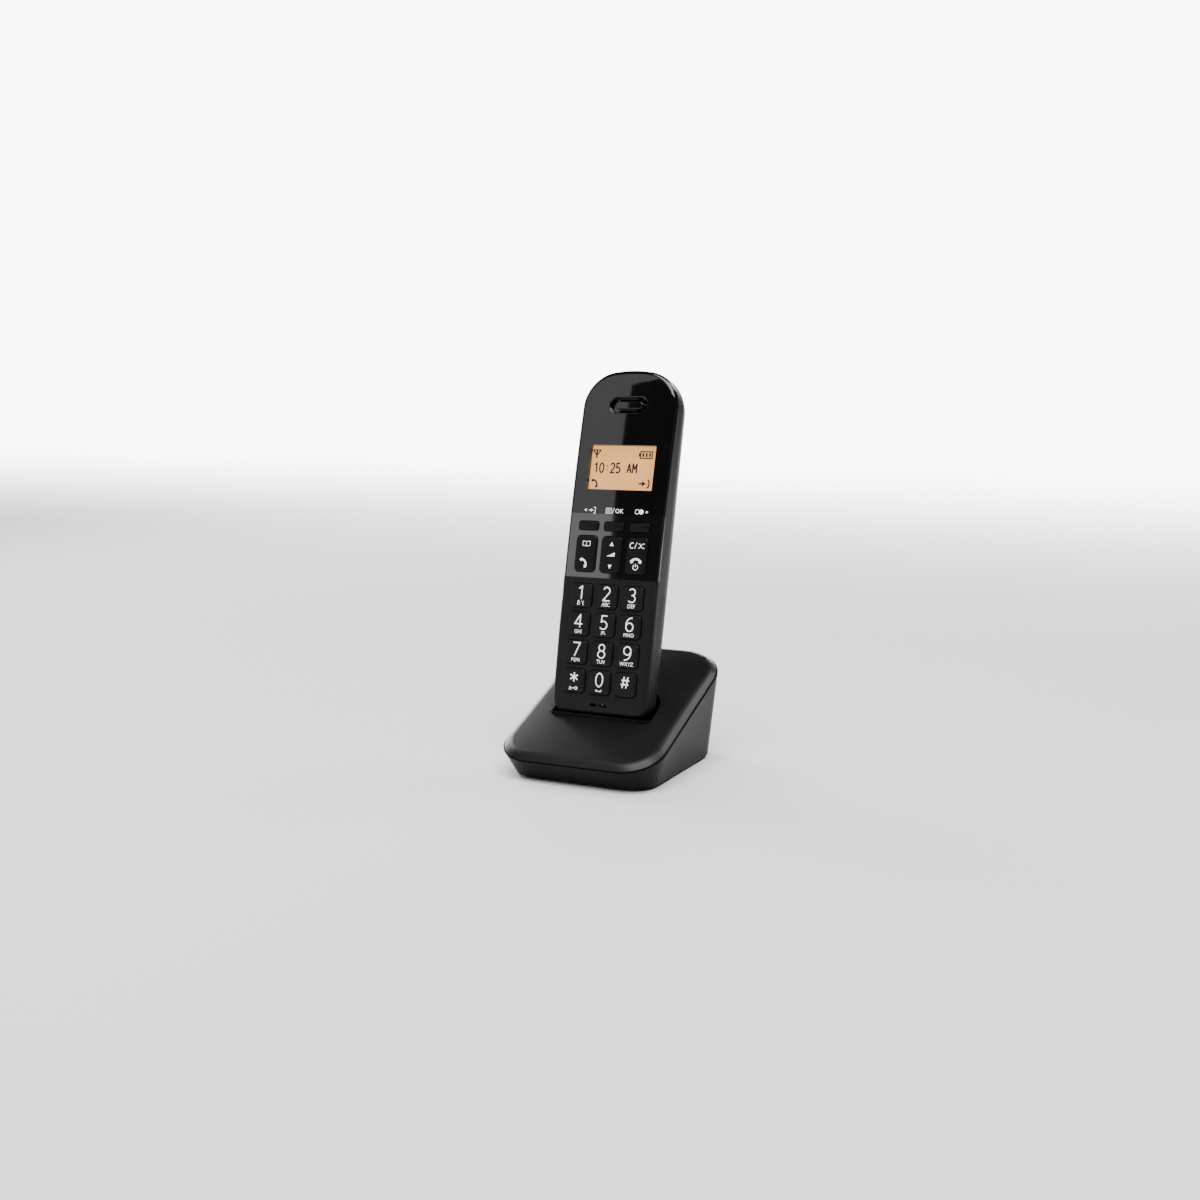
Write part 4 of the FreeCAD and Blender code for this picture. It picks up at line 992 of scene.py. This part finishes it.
@dataclass
class BaseTop:
    """The base's top cover: a crowned, bevelled face on a slope, with the handset's pocket and a button's hole."""

    half_width: float = 39.0
    depth: float = 92.0
    seam_height: float = 9.4
    slope: float = 22.2
    corners: tuple[float, ...] = (17.0, 22.5, 22.5, 17.0)
    crown: float = 2.2
    bevel_height: float = 2.0
    half_gap: float = 0.25
    crest: float = 1.4
    pocket_half_width: float = 24.4
    pocket_back: float = 26.9
    pocket_corners: tuple[float, ...] = (3.0, 15.0, 15.0, 3.0)
    pocket_floor: float = -0.3
    rim: float = 0.35
    button: tuple[float, float, float, float] = (0.0, 30.5, 13.5, 5.5)
    button_depth: float = 4.0
    contact_x: float = 16.1
    bevel_start: float = 0.1
    bevel_run: float = 1.5
    wall: float = 2.2
    tongue: float = 1.3
    cell_half_width: float = 30.0
    cell_corner: float = 3.0
    margin: float = 4.0

    def __post_init__(self) -> None:
        """Works out the sloping frame: across, into the base, and up the slope."""
        turn = math.radians(self.slope)
        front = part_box("base_bottom_cover")[0].y
        self.length = self.depth / math.cos(turn)
        self.local = Local(np.array((0.0, front, self.seam_height * MM)), np.array((1.0, 0.0, 0.0)),
                           np.array((0.0, math.sin(turn), -math.cos(turn))),
                           np.array((0.0, math.cos(turn), math.sin(turn))))

    def height(self, p: Array) -> Array:
        """Crown over the seam plane: bevel + crown * (1 - |across share|^2.5) * (1 - |slope share|^2.5)."""
        across = np.abs(p[..., 0] / (self.half_width + 1)) ** 2.5
        along = np.abs((p[..., 1] - self.length / 2) / (self.length / 2 + 1)) ** 2.5
        return self.bevel_height + self.crown * (1 - across) * (1 - along)

    def at(self, p: Array, height: Array | float) -> Array:
        """Points on the seam plane, raised by a height, in metres."""
        depth = np.broadcast_to(-np.asarray(height), p.shape[:-1])
        return self.local.place(np.stack([p[..., 0], depth, p[..., 1]], -1))

    def meet(self, start: Array, way: Array) -> Array:
        """Where lines from points in metres, along a direction, come up through the crown, as seam coordinates.

        Each line's height over the crown changes sign once, so its range is halved until it is small.
        """
        low, high = np.zeros(len(start)), np.full(len(start), 70 * MM)
        for _ in range(30):
            middle = (low + high) / 2
            spot = self.local.read(start + middle[:, None] * way)
            above = -spot[:, 1] > self.height(spot[:, [0, 2]])
            low, high = np.where(above, low, middle), np.where(above, middle, high)
        return self.local.read(start + high[:, None] * way)[:, [0, 2]]

    def _hole(self, skin: Skin, cell: tuple, loops: list[Array], way: Array, foot: Array) -> Array:
        """Adds the face round a hole, its rounded rim and its wall.

        Args:
            skin: The piece.
            cell: The rectangle about the hole, as its x and slope ranges and its corner's share.
            loops: The wide and the true outline, in seam coordinates.
            way: The direction out of the hole.
            foot: The lower end of the wall, in metres.

        Returns:
            The rectangle's points.
        """
        x, v, corner = cell
        border = box_outline(x, v, [corner] * 4, square=True, right=np.linspace(0, 1, 18), across=32).points
        flat = between(loops[0], border, (0, 0.04, 0.25, 0.6, 1))
        skin.add(self.at(flat, self.height(flat)), -self.local.back, closed=True)
        wide, true = (self.at(loop, self.height(loop)) for loop in loops)
        turned = true - way * self.rim * MM
        rim = round_edge(wide, true, turned, 5)
        inward = true.mean(0) - true
        skin.add(rim, inward + way * MM, closed=True)
        skin.add(between(turned, foot, (0, 0.5, 1)), inward, closed=True)
        return border

    def _skirt(self, skin: Skin, block: Array, shares: Array) -> None:
        """Adds the face outside the holes, the rounded crest, the bevel and the edge at the seam.

        At a distance in from the edge, the bevel's height is bevel_start + distance / bevel_run. The crest is where
        that equals the crown's height, found by repeating distance = bevel_run * (crown height - bevel_start).
        """
        edge = box_outline((-self.half_width, self.half_width), (0, self.length), self.corners).spread(shares)
        inset = np.full(len(edge.points), 3.0)
        for _ in range(12):
            inset = self.bevel_run * (self.height(edge.grown(-inset).points) - self.bevel_start)

        def ring(distance: Array | float, height: Array | float | None = None) -> Array:
            flat = edge.grown(-np.broadcast_to(distance, inset.shape)).points
            return self.at(flat, self.height(flat) if height is None else height)

        flat = between(block, edge.grown(-inset - self.crest).points, (0, 0.3, 0.6, 0.85, 0.97, 1))
        skin.add(self.at(flat, self.height(flat)), -self.local.back, closed=True)
        outward = edge.normals[:, :1] * self.local.across + edge.normals[:, 1:] * self.local.up
        below = inset - self.crest
        crest = round_edge(ring(inset + self.crest), ring(inset),
                           ring(below, self.bevel_start + below / self.bevel_run), 7)
        skin.add(crest, outward - self.local.back, closed=True)
        low = (self.half_gap - self.bevel_start) * self.bevel_run
        lip = round_edge(ring(low + 0.5, self.half_gap + 1 / 3), ring(low, self.half_gap),
                         ring(low + 0.45, self.half_gap), 5)
        skin.add(np.concatenate([crest[-1:], lip]), outward - self.local.back, closed=True)
        foot = ring(self.wall, self.half_gap)
        skin.add(np.stack([lip[-1], foot]), self.local.back, closed=True)
        skin.add(np.stack([foot, ring(self.wall + 0.15, -self.tongue)]), outward, closed=True)

    def build(self, handset: Local, face: Face) -> bpy.types.Object:
        """Makes the cover."""
        # Finish 1 is painted shade for the charge contacts' slots.
        skin = Skin("base_top_shell", [BASE_BLACK, SLOT_SHADE_PATCH])
        front = float(face.depth(0.0)) - 0.5
        counts = {"right": np.linspace(0, 1, 18), "across": 32}
        plan = box_outline((-self.pocket_half_width, self.pocket_half_width), (front, self.pocket_back),
                           self.pocket_corners, **counts)
        oval = outline(np.array([(self.button[0] + sx * (self.button[2] - self.button[3]) / 2, self.button[1])
                                 for sx in (1, 1, -1, -1)]), [self.button[3] / 2] * 4, **counts)

        def pocket_points(loop: Loop, height: float) -> Array:
            p = loop.points
            return handset.place(np.stack([p[:, 0], p[:, 1], np.full(len(p), height)], -1))

        upright = np.array((0.0, 0.0, 1.0))

        def button_points(loop: Loop, height: float) -> Array:
            return np.concatenate([loop.points, np.full((len(loop.points), 1), height)], 1) * MM

        floor = pocket_points(plan, self.pocket_floor)
        pocket = [self.meet(pocket_points(plan.grown(grow), self.pocket_floor), handset.up) for grow in (self.rim, 0)]
        button = [self.meet(button_points(oval.grown(grow), 0.0), upright) for grow in (self.rim, 0)]
        x = (-self.cell_half_width, self.cell_half_width)
        split = (pocket[0][:, 1].max() + button[0][:, 1].min()) / 2
        rows = (pocket[0][:, 1].min() - self.margin, split, button[0][:, 1].max() + self.margin)
        lower = self._hole(skin, (x, rows[:2], self.cell_corner), pocket, handset.up, floor)
        sunk = self.at(button[1], self.height(button[1])) - upright * self.button_depth * MM
        upper = self._hole(skin, (x, rows[1:], self.cell_corner), button, upright, sunk)
        skin.mesh(floor, [list(range(len(floor)))[::-1]])
        # Dark matte bars on the pocket floor at the charge contacts stand for the slots' dark insides: painted shade.
        art = Drawing()
        for side in (-1, 1):
            art.bar((side * self.contact_x - 1.3, side * self.contact_x + 1.3), (10.0, 17.0))
        art.lay(skin, 1, lambda p: handset.place(
            np.stack([p[:, 0], p[:, 1], np.full(len(p), self.pocket_floor + 0.03)], -1)))
        self._skirt(skin, *self._block(lower, upper, x, rows))
        return skin.build("base", "base_black", ["base_top_cover"])

    def _block(self, lower: Array, upper: Array, x: tuple, rows: tuple) -> tuple[Array, Array]:
        """The outside of the two rectangles together, anticlockwise from the lower right, and its corner shares."""
        both = np.concatenate([lower, upper])
        sides = [both[np.abs(both[:, 1] - rows[0]) < 1e-9], both[np.abs(both[:, 0] - x[1]) < 1e-9],
                 both[np.abs(both[:, 1] - rows[2]) < 1e-9], both[np.abs(both[:, 0] - x[0]) < 1e-9]]
        points, shares = [], []
        for i, (side, axis, sign) in enumerate(zip(sides, (0, 1, 0, 1), (1, 1, -1, -1))):
            side = side[np.argsort(side[:, axis] * sign)]
            keep = np.concatenate([[True], np.diff(side[:, axis] * sign) > 1e-6])
            side = side[keep][:-1]
            span = abs((x if axis == 0 else rows)[-1] - (x if axis == 0 else rows)[0])
            points.append(side)
            shares.append((i + 3) % 4 + np.abs(side[:, axis] - side[0, axis]) / span)
        return np.concatenate(points), np.concatenate(shares)


# ---------------------------------------------------------------- pieces kept from the frame

KEPT_FINISHES = {
    CASE_BLACK: ("handset_front_case", "handset_rear_case", "battery_cover"),
    GLOSS_BLACK: ("lens_panel", "earpiece_grille"),
    FRAME_BLACK: ("function_key_frame",),
    ClearWindow(): ("display_window",),
    BASE_LOWER_BLACK: ("base_bottom_cover",),
    SOCKET_BLACK: ("locator_button", "contact_carrier", "line_jack", "power_jack", "locator_switch",
                   "base_board_parts", "earpiece_speaker", "ringer_speaker"),
    RUBBER_BLACK: ("rubber_feet",),
    RUBBER_GREY: ("keypad_mat", "earpiece_gasket", "microphone_boot"),
    WHITE_PLASTIC: ("lcd_backlight",),
    RIBBON: ("display_ribbon",),
    CircuitBoard(): ("handset_circuit_board", "base_circuit_board"),
    CellSleeve(): ("battery_cell_left", "battery_cell_right"),
    STEEL: ("radio_shield", "microphone", "handset_antenna", "base_radio_shield", "base_antennas"),
    SPRING_STEEL: ("key_domes", "battery_springs", "battery_terminals"),
    CONTACT: ("charge_terminals", "charge_contact_left", "charge_contact_right"),
    SCREW_STEEL: ("handset_screws", "base_screws"),
}


def dress_kept() -> None:
    """Gives each piece of the frame its finish, in place of the plain one that it came with."""
    for finish, names in KEPT_FINISHES.items():
        for name in names:
            mesh = frame["nodes"][name].data
            mesh.materials.clear()
            mesh.materials.append(PAINTS.of(finish))
            log.info("%s: kept, in %s", name, finish.name)


# ---------------------------------------------------------------- room, lights and camera

@dataclass(frozen=True)
class View:
    """Where the camera stands: its turn and height about a target, and its lens on a 36 mm sensor."""

    azimuth: float = 26.108
    elevation: float = 8.234
    distance: float = 0.656025
    target: tuple[float, float, float] = (-0.007428, 0.0, 0.075791)
    lens: float = 43.31

    def direction(self) -> Vector:
        """From the target to the camera."""
        a, e = math.radians(self.azimuth), math.radians(self.elevation)
        return Vector((math.sin(a) * math.cos(e), -math.cos(a) * math.cos(e), math.sin(e)))

    def place(self) -> Vector:
        """The camera's place."""
        return Vector(self.target) + self.direction() * self.distance

    def build(self) -> bpy.types.Object:
        """Makes the camera."""
        data = bpy.data.cameras.new("camera")
        data.sensor_width, data.lens, data.clip_start = 36.0, self.lens, 0.01
        camera = bpy.data.objects.new("camera", data)
        camera.location = self.place()
        camera.rotation_mode = "QUATERNION"
        camera.rotation_quaternion = (-self.direction()).to_track_quat("-Z", "Y")
        bpy.context.scene.collection.objects.link(camera)
        bpy.context.scene.camera = camera
        return camera


@dataclass(frozen=True)
class Softbox:
    """A rectangular area light that points at a target, with its radiance."""

    name: str
    place: tuple[float, float, float]
    target: tuple[float, float, float]
    size: tuple[float, float]
    radiance: float
    spin: float = 0.0

    def build(self) -> bpy.types.Object:
        """Makes the light; its power is radiance * pi * area."""
        data = bpy.data.lights.new(self.name, "AREA")
        data.shape, data.size, data.size_y = "RECTANGLE", self.size[0], self.size[1]
        data.energy = self.radiance * math.pi * self.size[0] * self.size[1]
        light = bpy.data.objects.new(self.name, data)
        light.location = self.place
        aim = (Vector(self.target) - Vector(self.place)).to_track_quat("-Z", "Y")
        light.rotation_mode = "QUATERNION"
        spun = aim.to_matrix() @ aim.to_matrix().Rotation(math.radians(self.spin), 3, "Z")
        light.rotation_quaternion = spun.to_quaternion()
        bpy.context.scene.collection.objects.link(light)
        return light


@dataclass
class Studio:
    """A pale floor, soft light, and the card that the glossy panels mirror."""

    view: View
    floor_colour: tuple[float, float, float] = (0.86, 0.86, 0.865)
    back_radiance: float = 9.0
    front_radiance: float = 0.05
    lights: tuple[Softbox, ...] = (
        Softbox("overhead", (0.35, -0.55, 1.7), (0, 0, 0.05), (1.5, 1.2), 10.0),
        Softbox("left_sheen", (-1.0, 0.45, 0.75), (0, 0, 0.05), (0.5, 0.5), 10.5),
        Softbox("right_sheen", (1.5, 0.1, 0.45), (0, 0, 0.08), (0.5, 0.7), 0.3),
        Softbox("edge_light", (0.55, 0.75, 1.2), (0, 0, 0.05), (0.4, 0.4), 12.0))
    card_plane: float = -0.75
    card_radiance: float = 1.5
    card_heights: tuple[float, float] = (62.0, 145.0)
    card_size: tuple[float, float] = (0.5, 1.1)
    top_height: float = 148.3
    top_size: tuple[float, float] = (0.5, 0.3)
    top_rise: float = 27.6

    def build(self, local: Local, face: Face) -> None:
        """Makes the floor, the world and the lights."""
        self._floor()
        self._world()
        self._card(local, face)
        for light in self.lights:
            light.build()

    def _floor(self) -> None:
        """A wide level floor that glows in the distance, so that it runs into the wall of light behind it."""
        across, along = np.meshgrid(np.linspace(-40, 40, 9), np.linspace(-6, 60, 9))
        points = np.stack([across, along, np.zeros_like(across)], -1).reshape(-1, 3)
        index = np.arange(81).reshape(9, 9)
        quads = np.stack([index[:-1, :-1], index[:-1, 1:], index[1:, 1:], index[1:, :-1]], -1).reshape(-1, 4)
        mesh = bpy.data.meshes.new("floor")
        mesh.from_pydata(points, [], quads.tolist())
        mesh.shade_smooth()
        graph = Graph("floor_pale")
        x, y, _ = graph.parts(graph.place(MM))
        away = graph.node("ShaderNodeMapRange", {"interpolation_type": "SMOOTHERSTEP"},
                          {"Value": y, "From Min": 0.15, "From Max": 3.0})
        slant = x + y * 0.03
        left = graph.node("ShaderNodeMapRange", {"interpolation_type": "SMOOTHERSTEP"},
                          {"Value": slant, "From Min": 0.6, "From Max": 0.28})
        graph.set(Base_Color=graph.mix(graph.noise(400.0, 2.0), self.floor_colour,
                                       tuple(c * 0.985 for c in self.floor_colour)), Roughness=0.75,
                  Specular_IOR_Level=0.15, Emission_Strength=self.back_radiance * 0.93,
                  Emission_Color=graph.mix(away * left, (0.0, 0.0, 0.0), (1.0, 1.0, 1.0)))
        mesh.materials.append(graph.material)
        floor = bpy.data.objects.new("floor", mesh)
        bpy.context.scene.collection.objects.link(floor)

    def _world(self) -> None:
        """A wall of light low down behind and to the left of the telephone, and dim light from everywhere else."""
        graph = Surroundings("room")
        x, y, z = graph.parts(graph.node("ShaderNodeTexCoord", output="Generated"))
        behind, low, left = (
            graph.node("ShaderNodeMapRange", {"interpolation_type": "SMOOTHSTEP"},
                       {"Value": way, "From Min": start, "From Max": stop})
            for way, start, stop in ((y, -0.1, 0.45), (z, 0.42, 0.26), (x, 0.12, -0.06)))
        graph.set(Color=(1.0, 1.0, 1.0),
                  Strength=behind * low * left * (self.back_radiance - self.front_radiance) + self.front_radiance)
        bpy.context.scene.world = graph.world

    def _mirrored(self, local: Local, face: Face, height: float, plane: float) -> Vector:
        """Where the ray from the camera, mirrored at a height on the face's middle line, meets a plane y = plane."""
        there = local.turned(np.array((0.0, float(face.depth(height)), height)), -face.angle(height))
        spot, normal = Vector(there.origin), -Vector(there.back)
        to_camera = self.view.place() - spot
        ray = 2 * normal.dot(to_camera) * normal - to_camera
        return spot + ray * ((plane - spot.y) / ray.y)

    def _card(self, local: Local, face: Face) -> None:
        """Two bright cards, one at the left and one above, that the handset's face mirrors.

        The left card's right edge is mirrored along the face's middle line. The upper card's lower left corner is
        mirrored at top_height, and its lower edge rises to the right.

        Args:
            local: The handset's frame.
            face: The handset's front surface.
        """
        low, high = (self._mirrored(local, face, height, self.card_plane) for height in self.card_heights)
        lean = math.degrees(math.atan2(high.x - low.x, high.z - low.z))
        side = Vector((-math.cos(math.radians(lean)), 0, math.sin(math.radians(lean))))
        centre = (low + high) / 2 + side * (self.card_size[0] / 2)
        rise = math.radians(self.top_rise)
        wide, tall = self.top_size[0] / 2, self.top_size[1] / 2
        above = self._mirrored(local, face, self.top_height, self.card_plane) + Vector(
            (wide * math.cos(rise) - tall * math.sin(rise) - 0.01, 0, wide * math.sin(rise) + tall * math.cos(rise)))
        for name, place, size, spin in (("left_card", centre, self.card_size, -lean),
                                        ("top_card", above, self.top_size, self.top_rise)):
            aim = tuple(place + Vector((0, 1, 0)))
            Softbox(name, tuple(place), aim, size, self.card_radiance, spin).build()


# ---------------------------------------------------------------- everything

def main() -> None:
    """Builds the telephone, then the room."""
    logging.basicConfig(level=logging.INFO, format="%(message)s")
    local, face = handset_frame(), Face()
    keypad = Keypad()
    view = View()
    dress_kept()
    keypad.build(local, face)
    Display().build(local)
    SoftLabels().build(local, face, keypad.pitch_x)
    BaseTop().build(local, face)
    Studio(view).build(local, face)
    view.build()


if __name__ == "__main__":
    main()
